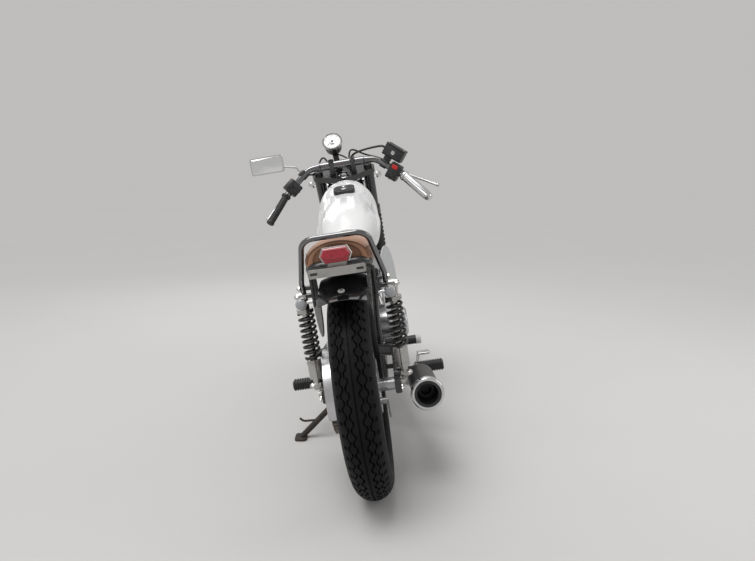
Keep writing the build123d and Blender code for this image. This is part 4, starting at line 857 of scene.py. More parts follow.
for vertex in pressed_tank.data.vertices:
    place = pressed_tank.matrix_world @ vertex.co - machine_origin
    x, y, z = (place.dot(way) / mm for way in (ahead, left, up))
    front = ease((x - front_start) / front_run)
    crown = clamp((z - crown_start) / crown_run)
    move = left * y * front_widening * front + up * front_rise * front * crown
    if abs(y) >= side_start:
        # how far inside the recess's outline the place lies, less than 0 outside it
        inside = min(((z2 - z1) * (x - x1) - (x2 - x1) * (z - z1)) / math.hypot(x2 - x1, z2 - z1)
                     for (x1, z1), (x2, z2) in zip(knee_outline, knee_outline[1:] + knee_outline[:1]))
        edge = clamp(1 - abs(inside + edge_half) / edge_half)
        depth = knee_depth[0] + (knee_depth[1] - knee_depth[0]) * clamp((x - deep_start) / deep_run)
        move += left * math.copysign(1, y) * (edge_rise * edge ** 2 - depth * ease(inside / knee_slope))
    vertex.co += to_mesh @ move * mm
pressed_tank.data.materials.clear()
pressed_tank.data.materials.append(tank_white)
pressed_tank.data.shade_smooth()
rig.ride(pressed_tank, "frame")
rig.replaces(pressed_tank, "fuel_tank")
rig.slot(pressed_tank, "tank_white")
cap_tilt = math.radians(17.0)
cap_across = between(ahead, up, cap_tilt)
cap_normal = between(up, -ahead, cap_tilt)
cap_middle = on_machine(800, 0, 926) + cap_normal * 12 * mm
shape = ([], [])
layered(shape, cap_middle, cap_across, left, rounded(57, 66, 16), [(-0.5, 0), (1.2, 0.4), (1.9, 2.4), (0.6, 5)])
make_piece("cap_panel", shape, satin_black, "frame", "cap_black", 30)
shape = ([], [])
lathe(shape, cap_middle + cap_across * 16 * mm, cap_normal, [
    (8.4, 0.2), (8.4, 2.8), (7, 3.8), (5.2, 3.8), (4.8, 2.6), (1.2, 2.6), (1, 3.1)])
flap_middle = cap_middle - cap_across * 13 * mm
layered(shape, flap_middle, cap_across, left, rounded(19, 24, 8), [(0.4, 0), (2.6, 0.2), (3.6, 1.6)])
cap_screw(shape, flap_middle + cap_normal * 3 * mm, cap_normal, 3.6)
make_piece("cap_lock", shape, plated_steel, "frame", "chrome")

# Fenders: thin black glossy sheet. The rear one is rolled to an arc that falls away
# toward its sides, and hangs on a bolt through a pale ring.
fender_gloss = make_finish(
    "fender_gloss", (0.008, 0.008, 0.009), (0.03, 0.03, 0.03), 0.25, 12, 0.1, 0.1, 300, 0.02,
    Coat_Weight=1.0, Coat_Roughness=0.03)
dress(fender_gloss, "rear_fender", "front_fender")
fender_middle = (-60, 300)
fender_reach = 408
fender_half = 67
fender_fall = 13
fender_thick = 2
fender_rows = 25
fender_columns = 13
shape = ([], [])
for thick in (0, fender_thick):
    for row in range(fender_rows):
        turn = math.radians(-17 + 43 * row / (fender_rows - 1))
        for column in range(fender_columns):
            y = fender_half * (2 * column / (fender_columns - 1) - 1)
            reach = fender_reach - fender_fall * (y / fender_half) ** 2 - thick
            shape[0].append(on_machine(
                fender_middle[0] - reach * math.sin(turn), y * (1 - thick * 0.01),
                fender_middle[1] + reach * math.cos(turn)))
sheet_size = fender_rows * fender_columns
last_row = sheet_size - fender_columns
for near in range(last_row):
    if (near + 1) % fender_columns:
        corners = (near, near + 1, near + fender_columns + 1, near + fender_columns)
        shape[1].extend((corners, tuple(sheet_size + corner for corner in reversed(corners))))
rim_loop = [*range(fender_columns), *range(2 * fender_columns - 1, sheet_size, fender_columns),
            *range(sheet_size - 2, last_row - 1, -1), *range(last_row - fender_columns, 0, -fender_columns)]
for here, there in zip(rim_loop, rim_loop[1:] + rim_loop[:1]):
    shape[1].append((here, there, there + sheet_size, here + sheet_size))
make_piece("arched_fender", shape, fender_gloss, "frame", "fender_black", 50, ("rear_fender",))
bolt_normal = between(up, -ahead, math.radians(20.0))
bolt_spot = on_machine(fender_middle[0], 0, fender_middle[1]) + bolt_normal * fender_reach * mm
shape = ([], [])
lathe(shape, bolt_spot, bolt_normal, [(9.5, -1), (9.5, 1.2), (8.6, 2.2), (5.4, 2.2), (5, 0.6)])
make_piece("fender_ring", shape, ring_plastic_and_cap_highlight, "frame", "fender_black")
shape = ([], [])
cap_screw(shape, bolt_spot + bolt_normal * 0.6 * mm, bolt_normal, 4.2)
make_piece("fender_bolt", shape, ground_steel, "frame", "steel")

# Oval side plates: moulded grey plastic, the left one under a satin black oval that is
# painted shade, each held off the seat rail by two turned rubber grommets.
plate_grey = make_finish("plate_grey", (0.50, 0.51, 0.52), (0.38, 0.37, 0.35), 0.4, 9, 0.4, 0.15, 500, 0.08)
dress(plate_grey, "side_plates")
plate_turn = math.radians(12.0)
plate_middle = (300, 130)
rail_front = (462, 84)
rail_back = (20, 98)
rail_radius = 11
plate_out = between(left, -ahead, plate_turn)
oval = [(134 * math.cos(math.pi * step / 36), 144 * math.sin(math.pi * step / 36)) for step in range(72)]
shape = ([], [])
# the black oval over the left plate paints the shade on that side
layered(shape, on_machine(*plate_middle, 588), up.cross(plate_out), up, oval,
        [(-0.8, 1.4), (0.4, 0), (2.6, 0), (4, 1.6)])
make_piece("left_plate_shade", shape, satin_black, "frame", "plate_grey", 30)
shape = ([], [])
for side in (-1, 1):
    for x in (250, 350):
        spread = (rail_front[0] - x) / (rail_front[0] - rail_back[0]) * (rail_back[1] - rail_front[1])
        rail_y = rail_front[1] + spread + rail_radius
        length = plate_middle[1] + (x - plate_middle[0]) * math.tan(plate_turn) - rail_y
        lathe(shape, on_machine(x, side * rail_y, 702), left * side, [
            (8, 0), (9, 1.5), (9, length - 4), (7, length - 2)], 20)
make_piece("plate_grommets", shape, satin_black, "frame", "rubber")

# Tail light: a red moulded lens with a raised middle panel, in a plated trim and
# held by two screws. The slotted bracket under it is folded from plated sheet; its
# slots are black patches on the sheet, painted shade where the open slots look dark.
red_lens = make_finish(
    "red_lens", (0.36, 0.006, 0.022), (0.16, 0.004, 0.010), 0.6, 60, 0.2, 0.1, 900, 0.05,
    Coat_Weight=0.7, Coat_Roughness=0.08)
right = -left
light_face = on_machine(-193.3, 0, 784)
panel_face = light_face - ahead * 27.8 * mm
hexagon = [(43, 0), (33, 20.5), (-33, 20.5), (-43, 0), (-33, -20.5), (33, -20.5)]
shape = ([], [])
layered(shape, light_face, right, up, hexagon, [(0, 0), (20, 3), (26, 5), (28, 8)])
make_piece("light_lens", shape, red_lens, "frame", "lens_red", 25, ("tail_light",))
sheet = [(0, 0), (3, 0)]
shape = ([], [])
plate_back = on_machine(-238, 0, 745)
layered(shape, plate_back, right, up, rounded(156, 24, 6), [(0, 0), (3, 0), (3.6, 0.8)])
layered(shape, on_machine(-190, 0, 778), right, up, rounded(52, 44, 3), sheet)
layered(shape, on_machine(-167, 0, 754), -ahead, right, [(0, 27), (0, -27), (72, -27), (72, 27)], sheet)
make_piece("slotted_bracket", shape, aged_chrome, "frame", "polished_alloy", 30, ("plate_bracket",))
shape = ([], [])
# black patches on the bracket face: painted shade for the open slots
for y in (-62, 62):
    layered(shape, plate_back + (left * y - ahead * 3.4) * mm, right, up, rounded(20, 7, 3.4),
            [(0, 0), (0.5, 0.1)])
make_piece("bracket_slot_shade", shape, satin_black, "frame", "black_plastic", 30)
shape = ([], [])
layered(shape, panel_face, right, up, [(x * 0.74, y * 0.46) for x, y in hexagon],
        [(0, 0), (2.6, 1.2), (3.2, 2.6)])
for y in (-20, 0, 20):
    layered(shape, panel_face + right * y * mm, right, up, rounded(2, 32, 0.9), [(0, 0), (1, 0.2)])
make_piece("lens_panel", shape, red_lens, "frame", "lens_red", 30)
shape = ([], [])
layered(shape, light_face + ahead * 0.6 * mm, right, up, [(x * 1.05, y * 1.08) for x, y in hexagon],
        [(0, 0), (4, 0), (4.8, 0.8)])
for side in (-1, 1):
    cap_screw(shape, light_face + (left * side * 33 - ahead * 24) * mm, -ahead, 3.2)
make_piece("light_trim", shape, plated_steel, "frame", "chrome")

# Turn signals: plated bullets with clear domed lenses, and the headlamp's fluted
# glass in its rim, bolted between the ears.
lamp_glass = make_finish(
    "lamp_glass", (0.34, 0.35, 0.36), (0.26, 0.27, 0.27), 0.3, 30, 0.08, 0.05, 700, 0.05,
    Coat_Weight=1.0, Coat_Roughness=0.02)
lamp_ahead = between(fork_ahead, -steering_up, rake)
lens_dome = [(15.6, -1.5), (15.6, 0.4), (14.6, 2.6), (11.5, 4.8), (6, 6.2), (1, 6.6)]
rear_lenses = ([], [])
front_lenses = ([], [])
for side in (-1, 1):
    lathe(rear_lenses, on_machine(-96, side * 130, 642), -ahead, lens_dome, 36)
    lathe(front_lenses, on_fork(96.2, side * 156, 700) + lamp_ahead * 24 * mm, lamp_ahead, lens_dome, 36)
make_piece("rear_lenses", rear_lenses, lamp_glass, "frame", "lens_red", 40)
make_piece("front_lenses", front_lenses, lamp_glass, "steering", "lens_red", 40)
lamp_place = (158, 650)
lamp_middle = on_fork(lamp_place[0], 0, lamp_place[1])
lens_rise = 16
lens_ball = (82 ** 2 + lens_rise ** 2) / (2 * lens_rise)
flute_width = 9
shape = ([], [])
lathe(shape, lamp_middle, lamp_ahead, [(81.4, 44.2)] + [
    (radius, 44.8 + lens_rise - lens_ball + math.sqrt(lens_ball ** 2 - radius ** 2))
    for radius in (80, 76, 72, 68, 64, 60, 54, 48, 42, 36, 30, 24, 18, 12, 6, 1)], 120)
for spot in shape[0]:
    across = (spot - lamp_middle).dot(front_left) / mm
    spot += lamp_ahead * 0.6 * mm * math.sin(across * 2 * math.pi / flute_width)
make_piece("lamp_lens", shape, lamp_glass, "steering", "chrome", 60)
shape = ([], [])
lathe(shape, lamp_middle, lamp_ahead, [
    (87.8, 26), (89.2, 28), (89.2, 37), (87, 42), (83.6, 45.4), (81.4, 44.6), (81.6, 40), (86, 30)], 72, True)
make_piece("lamp_rim", shape, bright_chrome, "steering", "chrome", 50)
shape = ([], [])
for side in (-1, 1):
    lathe(shape, on_fork(lamp_place[0], side * 80, lamp_place[1]), front_left * side, [(8, 0), (8, 8.5)], 20)
    dome_nut(shape, on_fork(lamp_place[0], side * 92.2, lamp_place[1]), front_left * side, 7.5)
make_piece("lamp_bolts", shape, plated_steel, "steering", "chrome")

# Gauge: a turned, plated bezel round a pale dial under clear lacquer, with black
# ticks, a pointer at rest and its cap. The dial has no figures.
gauge_middle = on_bar(1040, 27, 1146)
gauge_facing = between(-ahead, up, math.radians(35.0))
gauge_up = (up - gauge_facing * up.dot(gauge_facing)).normalized()
gauge_right = gauge_up.cross(gauge_facing)
dial_white = make_finish(
    "dial_white", (0.52, 0.52, 0.51), (0.42, 0.41, 0.38), 0.2, 30, 0.3, 0.08, 900, 0.02,
    Coat_Weight=1.0, Coat_Roughness=0.03)
shape = ([], [])
lathe(shape, gauge_middle, gauge_facing, [
    (43.8, -9), (44.8, -7), (45, 1), (43.6, 4.2), (40.8, 5.2), (38.4, 3.4), (37.6, 0.4), (40, -4)], 56, True)
make_piece("gauge_bezel", shape, aged_chrome, "steering", "chrome", 50)
shape = ([], [])
lathe(shape, gauge_middle, gauge_facing, [(38.6, -1), (38.6, 0.8), (36.4, 1.2), (34, 1), (1, 1)], 48)
make_piece("gauge_dial", shape, dial_white, "steering", "black_plastic", 50)
first_tick = -132
tick_reach = 33
dial_marks = ([], [])


def add_mark(turn, reach, width, length, corner, lift, thick, inset):
    # a bar printed on the dial, at a turn from its top and a reach from its middle
    outward = between(gauge_up, gauge_right, math.radians(turn))
    layered(dial_marks, gauge_middle + (gauge_facing * lift + outward * reach) * mm,
            outward.cross(gauge_facing), -outward, rounded(width, length, corner, 2), [(0, 0), (thick, inset)])


for index in range(25):
    long = index % 4 == 0
    length = 6.4 if long else 3.6
    add_mark(first_tick + 11 * index, tick_reach - length / 2, 1.3 if long else 0.8, length, 0.3, 1, 0.35, 0.05)
add_mark(first_tick, 9, 1.6, 36, 0.6, 1.6, 0.8, 0.1)
lathe(dial_marks, gauge_middle, gauge_facing, [(4.2, 0.9), (4.2, 2.6), (3, 3.4), (0.8, 3.6)], 20)
layered(dial_marks, gauge_middle + (gauge_facing * 0.9 - gauge_up * 15) * mm, -gauge_right, -gauge_up,
        rounded(17, 6, 1.2, 3), [(0, 0), (0.5, 0.1)])
make_piece("dial_marks", dial_marks, satin_black, "steering", "black_plastic")

# Mirror: silvered glass, cut to a rounded oblong with a bevelled edge and set in a
# thin plated shell.
silvered_glass = make_finish(
    "silvered_glass", (0.80, 0.81, 0.82), (0.70, 0.70, 0.70), 0.15, 12, 0.05, 0.03, 300, 0.005, Metallic=1.0)
mirror_across = (front_left - ahead * front_left.dot(ahead)).normalized()
shape = ([], [])
layered(shape, on_bar(962, 325, 1086), mirror_across, mirror_across.cross(ahead), rounded(136, 65, 8),
        [(-0.5, 0), (0.7, 0), (1, 1.2)])
make_piece("mirror_glass", shape, silvered_glass, "steering", "chrome", 30)

# Steering head: a plated stem nut on the black clamp, black plugs in the fork
# tubes, and bolts that hold the bar in its clamps.
stem_top = on_fork(0, 0, 770)
shape = ([], [])
lathe(shape, stem_top, steering_up, [(23, 0), (23, 2.2), (21, 3)])
lathe(shape, stem_top, steering_up, [(18.5, 2.8), (18.5, 12), (16.6, 14)], 6)
lathe(shape, stem_top, steering_up, [(13, 13.6), (13, 15.4), (10, 16), (6, 14.8), (2, 14.6)], 28)
make_piece("stem_nut", shape, bright_chrome, "steering", "chrome")
shape = ([], [])
for side in (-1, 1):
    lathe(shape, on_fork(fork_offset, side * 112, 782), steering_up, [
        (18.6, -9), (18.6, 0.4), (17, 2.4), (9.5, 2.6), (9, 0.8), (4, 0.8)], 36)
    for x in (20.5, 39.5):
        cap_screw(shape, on_fork(x, side * 47.5, 835), steering_up, 4.2)
make_piece("fork_plugs", shape, satin_black, "steering", "frame_black")


# Bar controls: moulded switch housings with their buttons and screws, the brake
# reservoir with its lid and window, and the two polished hand levers.
def bar_side(side):
    # the bar's bend on one side, its course outward, and the ways fore and above it
    shoulder = on_bar(1000, side * 150, 1041)
    course = (on_bar(965, side * 258, 950) - shoulder).normalized()
    fore = course.cross(up).normalized() * -side
    if fore.dot(ahead) < 0:
        fore = -fore
    above = fore.cross(course).normalized()
    if above.dot(up) < 0:
        above = -above
    return shoulder, course, fore, above


def bar_place(side, travel, rise, forward):
    # millimetres outward along the bar from its bend, above it and fore of it
    shoulder, course, fore, above = bar_side(side)
    return shoulder + (course * travel + above * rise + fore * forward) * mm


def bar_box(shape, side, travel, rise, forward, wide, high, long, radius):
    # a housing with softened edges, long along the bar
    _, course, fore, above = bar_side(side)
    if fore.cross(above).dot(course) < 0:
        above = -above
    layered(shape, bar_place(side, travel, rise, forward), fore, above, rounded(wide, high, radius),
            [(0, 2.4), (0.8, 0.8), (2.4, 0), (long - 2.4, 0), (long - 0.8, 0.8), (long, 2.4)])


shape = ([], [])
for box in ((-1, 80, -8, 0, 50, 74, 52, 12), (1, 84, 0, 0, 50, 66, 54, 13), (-1, 34, 0, 4, 36, 38, 30, 8),
            (1, 20, 0, 4, 36, 38, 30, 8), (-1, 18, 62, 12, 60, 54, 92, 9), (-1, 34, 28, 10, 36, 34, 30, 5)):
    bar_box(shape, *box)
make_piece("control_housings", shape, satin_black, "steering", "black_plastic", 40, ("bar_controls",))
_, right_course, right_fore, right_above = bar_side(-1)
lid_middle = bar_place(-1, 64, 89, 12)
reservoir_lid = ([], [])
layered(reservoir_lid, lid_middle, right_fore, right_course, rounded(63, 95, 10),
        [(-3, 0), (2.6, 0), (4, 1.4), (4, 8), (3, 9.5)])
control_screws = ([], [])
for x in (-24, 24):
    for y in (-39, 39):
        spot = lid_middle + (right_fore * x + right_course * y + right_above * 3.4) * mm
        cap_screw(control_screws, spot, right_above, 3.2)
lathe(control_screws, bar_place(-1, 64, 62, -18.4), -right_fore, [
    (9, 0), (9, 1.6), (7.4, 2.2), (6.6, 1), (2, 1)], 28)
switch_red = make_finish("switch_red", (0.56, 0.02, 0.02), (0.34, 0.02, 0.02), 0.3, 60, 0.3, 0.1, 900, 0.05)
housing_back = -24.6
button_spot = bar_place(-1, 104, 14, housing_back)
red_button = ([], [])
layered(red_button, button_spot, right_course, right_above, rounded(28, 18, 7),
        [(0, 0), (6.4, 0.6), (7.6, 2.4)])
make_piece("red_button", red_button, switch_red, "steering", "lens_red")
switch_faces = ([], [])
layered(switch_faces, button_spot + right_fore * 0.4 * mm, right_course, right_above, rounded(38, 26, 8),
        [(0, 0), (1.8, 0.4)])
layered(switch_faces, bar_place(-1, 106, -24, housing_back), right_course, right_above,
        rounded(22, 17, 6), [(0, 0), (4, 0.8), (5.4, 2.4)])
_, left_course, _, left_above = bar_side(1)
for travel, rise, wide, high, tall in ((112, 18, 30, 12, 4.5), (104, -1, 15, 15, 7), (121, -13, 13, 13, 4)):
    layered(switch_faces, bar_place(1, travel, rise, housing_back), left_above, left_course,
            rounded(high, wide, min(wide, high) / 2 - 0.5), [(0, 0), (tall, 0.5), (tall + 1.2, 1.8)])
make_piece("switch_faces", switch_faces, satin_black, "steering", "black_plastic")
for side, travel, rise in ((-1, 104, -45), (1, 108, -33)):
    for forward in (-14, 14):
        cap_screw(control_screws, bar_place(side, travel, rise, forward), -bar_side(side)[3], 3.4)
hand_lever_pair = ([], [])
for side, root_travel, knee, tip in (
        (-1, 48, (1010, -302, 937), (966, -404, 879)), (1, 34, (1009, 292, 930), (960, 364, 852))):
    forward = bar_side(side)[2]
    root = bar_place(side, root_travel, 0, 0)
    bend = on_bar(*knee)
    end = on_bar(*tip)
    tube_along(hand_lever_pair, [
        root + forward * 18 * mm, root + forward * 46 * mm, root.lerp(bend, 0.5) + forward * 34 * mm, bend,
        bend.lerp(end, 0.5) + forward * 3 * mm, end], 5.6, 12)
    lathe(hand_lever_pair, end, (end - bend).normalized(), [(3, -7), (7, -4), (8.6, 1), (7.4, 6), (3, 8.6)], 20)
make_piece("hand_lever_pair", hand_lever_pair, polished_alloy, "steering", "polished_alloy", 50,
           ("hand_levers",))
make_piece("reservoir_lid", reservoir_lid, satin_black, "steering", "black_plastic", 30)
make_piece("control_screws", control_screws, plated_steel, "steering", "steel")

# Grips: the right one plated with rubber strips let into it and a bullet end, the
# left one slim ribbed rubber. Both stand for the plain CAD grips.
black_rubber = make_finish(
    "black_rubber", (0.016, 0.016, 0.016), (0.045, 0.043, 0.04), 0.5, 24, 0.58, 0.2, 900, 0.25)
dress(black_rubber, "fork_gaiters", "air_filter")
right_end, left_end = (on_bar(bar_end[0], side * bar_end[1], bar_end[2]) for side in (-1, 1))
right_inward = (on_bar(965, -258, 950) - right_end).normalized()
left_inward = (on_bar(965, 258, 950) - left_end).normalized()
shape = ([], [])
lathe(shape, right_end, right_inward, [
    (1, -22), (7, -21), (13, -17.5), (17.6, -11), (19.6, -3), (20.2, 4), (20.6, 10), (20.6, 136), (23.4, 139),
    (23.8, 143), (23, 148), (14, 148.6)], 56)
make_piece("right_grip", shape, bright_chrome, "steering", "chrome", 40, ("grips",))
strip_side = right_inward.orthogonal().normalized()
shape = ([], [])
for index in range(8):
    outward = between(strip_side, right_inward.cross(strip_side), 2 * math.pi * (index + 0.3) / 8)
    layered(shape, right_end + (right_inward * 72 + outward * 20) * mm, right_inward.cross(outward),
            -right_inward, rounded(6, 112, 2.6, 3), [(0, 0), (1.3, 0), (1.8, 0.6)])
ribs = [(1, -11), (14, -11), (16.4, -9), (16.8, -2), (15.2, 2)]
for low in range(8, 128, 10):
    ribs += [(14.4, low), (15.4, low + 1.2), (15.4, low + 8.4), (14.4, low + 9.6)]
ribs += [(14.6, 132), (20.4, 135), (20.8, 139), (20.4, 143.6), (12.4, 144)]
lathe(shape, left_end, left_inward, ribs, 36)
make_piece("left_grip", shape, black_rubber, "steering", "rubber", 40, ("grips",))

# Foot controls: the polished brake pedal and gear lever, forged rods bent outward
# with a pad across each end.
shape = ([], [])
for side, pad_z, pad_wide, pad_high in ((-1, 238, 36, 10), (1, 264, 18, 18)):
    rod = ((470, 188, 232), (500, 190, 226), (530, 193, 222.5), (574, 199, pad_z - 14), (612, 204, pad_z - 2))
    tube_along(shape, [on_machine(x, side * y, z) for x, y, z in rod], 6, 14)
    layered(shape, on_machine(616, side * 200, pad_z), up, ahead * side, rounded(pad_high, pad_wide, 4),
            [(0, 2), (1.6, 0), (48.4, 0), (50, 2)])
make_piece("foot_rods", shape, polished_alloy, "frame", "polished_alloy", 40, ("foot_controls",))

# Foot pegs: moulded rubber sleeves with raised ribs round them, pushed over the
# steel pegs.
dress(black_rubber, "footpegs")
shape = ([], [])
for side in (-1, 1):
    layered(shape, on_machine(450, side * 179, 232), up, ahead * side, rounded(32, 42, 8),
            [(0, 3), (2, 0), (108, 0), (110, 3)])
    for index in range(11):
        layered(shape, on_machine(450, side * (186 + index * 9.6), 232), up, ahead, rounded(38, 48, 10),
                [(-2.6, 1.6), (-1.8, 0), (1.8, 0), (2.6, 1.6)])
make_piece("peg_ribs", shape, black_rubber, "frame", "rubber", 40)

# Cables: black sheathed throttle and clutch cables from the bar, round the steering
# head and down to the carburettor and the clutch, bending as the fork steers.
cable_black = make_finish(
    "cable_black", (0.014, 0.014, 0.014), (0.05, 0.05, 0.05), 0.4, 50, 0.4, 0.15, 900, 0.1)
cable_radius = 4.0
for name, side, legs in (
        ("throttle_cable", -1, (
            (on_bar, ((1004, -214, 1000), (1032, -176, 1036), (1046, -110, 1066))),
            (on_fork, ((88, -50, 846), (72, -33, 792), (68, -40, 745), (44, -46, 705))),
            (on_machine, ((1000, -50, 838), (940, -62, 806), (850, -64, 758), (760, -54, 680),
                          (706, -30, 610))))),
        ("clutch_cable", 1, (
            (on_bar, ((1016, 172, 1018), (1052, 130, 1020))),
            (on_fork, ((96, 84, 826), (82, 58, 790), (74, 51, 745), (46, 47, 705))),
            (on_machine, ((1000, 50, 838), (940, 62, 806), (880, 72, 740), (860, 84, 640), (852, 86, 520),
                          (846, 70, 452)))))):
    sheath = ([], [])
    tube_along(sheath, [where(*spot) for where, spots in legs for spot in spots], cable_radius)
    cable = make_piece(name, sheath, cable_black, "frame", "rubber", 60)
    cable.parent = None
    del cable["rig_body"]
    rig.blend(cable, "steering", "frame", on_fork(56, side * 47, 715), on_machine(950, side * 60, 812))

# Brake hose and speedometer cable: both run down the fork, the hose from the
# reservoir to the caliper and the cable from the gauge to its drive on the hub.
hose_start = bar_place(-1, 25.7, 56, 12)
port_x = -16.5
port_h = 97.4
port_turn = math.radians(42.0)
shape = ([], [])
tube_along(shape, [hose_start, hose_start - right_course * 34 * mm] + places(
    on_fork, (66, -66, 838), (98, -20, 774), (105, 38, 752), (97, 76, 690), (93, 78, 560), (95, 78, 400),
    (90, 77, 250), (64, 71, 176),
    (port_x + 36 * math.cos(port_turn), 68, port_h + 36 * math.sin(port_turn)), (port_x, 68, port_h)), 5)
make_piece("brake_line", shape, cable_black, "steering", "rubber", 60)
cup_end = gauge_middle - gauge_facing * 57 * mm
drive_middle = front_hub - front_left * 48 * mm
drive_up = between(steering_up, fork_ahead, math.radians(30))
drive_end = drive_middle + drive_up * 62 * mm
shape = ([], [])
tube_along(shape, [cup_end, cup_end - gauge_facing * 30 * mm] + places(
    on_fork, (112, -30, 792), (98, -74, 700), (93, -78, 560), (95, -78, 400), (92, -77, 260), (88, -62, 130))
           + [drive_end + drive_up * 30 * mm, drive_end], 3.5)
make_piece("speedometer_line", shape, cable_black, "steering", "rubber", 60)
shape = ([], [])
lathe(shape, drive_middle, front_left, [
    (12, -7), (24, -7), (26, -5), (26, 5), (24, 7), (12, 7)], 40, True)
lathe(shape, drive_middle, drive_up, [(7, 22), (7, 58), (5.6, 62)], 20)
make_piece("speedometer_drive", shape, cast_alloy, "steering", "engine_alloy", 40)

# Spark plug lead: rubber-sheathed wire from the coil under the tank, to a moulded
# cap on the head's right.
plug_cap = on_machine(812, -94, 600)
shape = ([], [])
tube_along(shape, places(
    on_machine, (770, -40, 700), (780, -78, 690), (806, -104, 650), (812, -96, 606)), 3.6)
lathe(shape, plug_cap, (on_machine(812, -60, 582) - plug_cap).normalized(), [
    (7, -10), (8.5, -4), (8.5, 14), (6.5, 18), (6.5, 34)], 20)
make_piece("plug_lead", shape, black_rubber, "frame", "rubber", 50)

# Stand tang: the rod that a boot pushes, bent outward and up, welded to the stand's
# leg and as rusty.
stand_pivot = on_machine(425, 86, 192)
stand_foot = Vector((-0.304229, 0.148486, 0.0))
tang_root = stand_pivot.lerp(stand_foot, 0.62)
shape = ([], [])
tube_along(shape, [tang_root + (left * y + ahead * x + up * z) * mm for x, y, z in (
    (0, 0, 0), (4, 30, 0), (0, 52, 4), (0, 66, 16))], 4.2, 12)
make_piece("stand_tang", shape, rusty_black, "side_stand", "stand_black", 60)

# Seat: foam under tan leather. A loft of cross-sections gives the dished saddle and
# the arched hump, with swelling and wrinkles in it, and piping along the seams. The
# rear face's inner panel takes a darker copy of the leather as painted shade.
# the third leather, a darker copy of the tan, is painted shade on the seat's rear panel and the piping's own dark
# colour
leathers = [
    make_finish(name, color, worn, wear, patches, roughness, 0.2, 420, 0.6, Sheen_Weight=0.1)
    for name, color, worn, wear, patches, roughness in (
        ("tan_leather", (0.20, 0.085, 0.036), (0.33, 0.165, 0.085), 0.55, 10, 0.46),
        ("pale_leather", (0.32, 0.155, 0.085), (0.42, 0.23, 0.14), 0.6, 12, 0.44),
        ("piping_and_shade_leather", (0.15, 0.062, 0.026), (0.24, 0.11, 0.055), 0.6, 12, 0.5))]
tan_paint, pale_paint, rear_shade_paint, pan_paint = range(4)
seat_rows = [  # place along the machine, half width, lower edge and top
    (426, 64, 721.5, 783.5), (404, 70, 721.5, 785.0), (330, 84, 721.5, 779.6), (250, 92, 721.5, 777.4),
    (180, 95, 719.0, 778.2), (90, 97, 716.0, 783.4), (20, 98, 716.0, 795.0), (-50, 97.5, 728.0, 815.6),
    (-104, 96, 741.0, 825.4), (-132, 92, 747.0, 822.5), (-146, 87, 750.0, 815.5)]
seat_core = 740
seat_round = 40
seat_loop = seat_round + 7
left_seam = 8
right_seam = seat_round - 2


def seat_row(x):
    # half width, lower edge and top at a place, on smooth curves through the rows
    index = 0
    while index < len(seat_rows) - 2 and x < seat_rows[index + 1][0]:
        index += 1
    chosen = [seat_rows[min(max(index + step, 0), len(seat_rows) - 1)] for step in (-1, 0, 1, 2)]
    t = (x - chosen[1][0]) / (chosen[2][0] - chosen[1][0])
    return [smooth_step(*(row[column] for row in chosen), t) for column in (1, 2, 3)]


def seat_section(x):
    # the lower edge's three points on each side, and a squared arch between them
    half, low, top = seat_row(x)
    shoulder = 748 + 14 * clamp(-(x + 20) / 110)
    power = 2 / (2.05 + 1.15 * ease((x + 110) / 170))  # round at the hump, squarer ahead of it
    edge = [(half * 0.5, low), (half * 0.86, low), (half * 0.985, low + 1.5)]
    points = [(-y, z) for y, z in edge]
    for step in range(seat_round + 1):
        turn = math.pi * (1 - step / seat_round)
        y = half * math.copysign(abs(math.cos(turn)) ** power, math.cos(turn))
        lift = math.sin(turn) ** power if 0 < step < seat_round else 0
        points.append((y, shoulder + (top - shoulder) * lift))
    return points + edge[::-1]


seat_stations = [426, 424, 419, 412, *range(404, -127, -10), -138, -143, -146]
seat_vertices = []
seat_faces = []
seat_paint = []


def join_loops(low, high, paints):
    # a band of faces between two sections, each with its leather
    for index in range(seat_loop):
        follow = (index + 1) % seat_loop
        seat_faces.append((low + index, low + follow, high + follow, high + index))
        seat_paint.append(paints(index))


def side_paint(index):
    if left_seam <= index < right_seam:
        return pale_paint
    return pan_paint if index < 2 or index > seat_loop - 3 else tan_paint


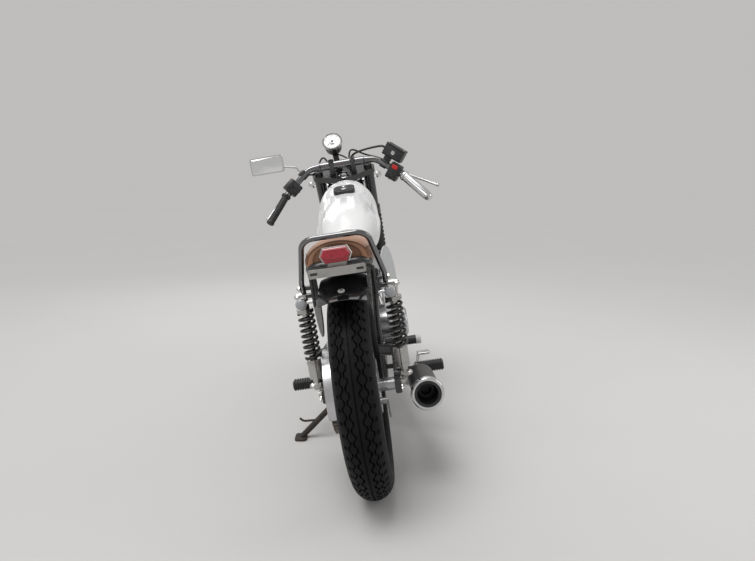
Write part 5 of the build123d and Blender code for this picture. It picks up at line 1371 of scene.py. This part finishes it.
for station, x in enumerate(seat_stations):
    for index, (y, z) in enumerate(seat_section(x)):
        puff = noise.noise(Vector((x * 0.012, y * 0.014, z * 0.01))) * 1.4
        puff += noise.noise(Vector((x * 0.07, y * 0.03, z * 0.05))) * 0.7
        if index in (left_seam, right_seam) and x > -120:
            puff -= 1.6
        away = Vector((0, y, z - seat_core)).normalized() * (puff if 2 < index < seat_loop - 3 else 0)
        seat_vertices.append(on_machine(x, y + away.y, z + away.z))
    if station:
        join_loops((station - 1) * seat_loop, station * seat_loop, side_paint)
seat_end = seat_stations[-1]
rear_section = seat_section(seat_end)
rear_height = 776
for share, back in ((0.97, 1.2), (0.93, 2), (0.86, 2.6), (0.80, 2.8), (0.78, 1.4), (0.76, 2.9), (0.6, 4.6),
                    (0.4, 5.6), (0.2, 6.2)):
    first = len(seat_vertices)
    for y, z in rear_section:
        wrinkle = noise.noise(Vector((y * 0.04, z * 0.05, share * 3))) * 0.8
        seat_vertices.append(on_machine(
            seat_end - back - wrinkle, y * share, rear_height + (z - rear_height) * share))
    # inside the piped outer band the rear face is painted darker as shade
    join_loops(first - seat_loop, first, lambda index: pale_paint if share > 0.79 else rear_shade_paint)
# the rear end cap takes the same painted shade
seat_faces += [tuple(first + index for index in range(seat_loop)), tuple(range(seat_loop))]
seat_paint += [rear_shade_paint, tan_paint]
seat = make_piece("leather_seat", (seat_vertices, seat_faces), leathers[0], "frame", "seat_leather", 70,
                  ("seat", "seat_pan"))
for material in (*leathers[1:], satin_black):
    seat.data.materials.append(material)
for face, paint in zip(seat.data.polygons, seat_paint):
    face.material_index = paint
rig.padded(seat, 0.9)
shape = ([], [])
for index in (left_seam, right_seam):
    seam = [(x, *seat_section(x)[index]) for x in (
        416, 380, 330, 280, 230, 180, 130, 80, 30, -20, -60, -100, -128, -144)]
    tube_along(shape, [on_machine(x, y * 1.004, z + 0.4) for x, y, z in seam], 1.9, 8, 3)
for x, share, radius in ((-147, 0.985, 2.1), (-148.6, 0.78, 1.7)):
    tube_along(shape, [on_machine(x, y * share, rear_height + (z - rear_height) * share)
                       for y, z in rear_section[3:4 + seat_round:2]], radius, 8, 3)
make_piece("seat_piping", shape, leathers[2], "frame", "seat_leather", 70)

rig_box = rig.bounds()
with open("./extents.json", "w") as sizes:
    json.dump([[list(corner) for corner in cad_box], [list(corner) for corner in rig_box]], sizes)
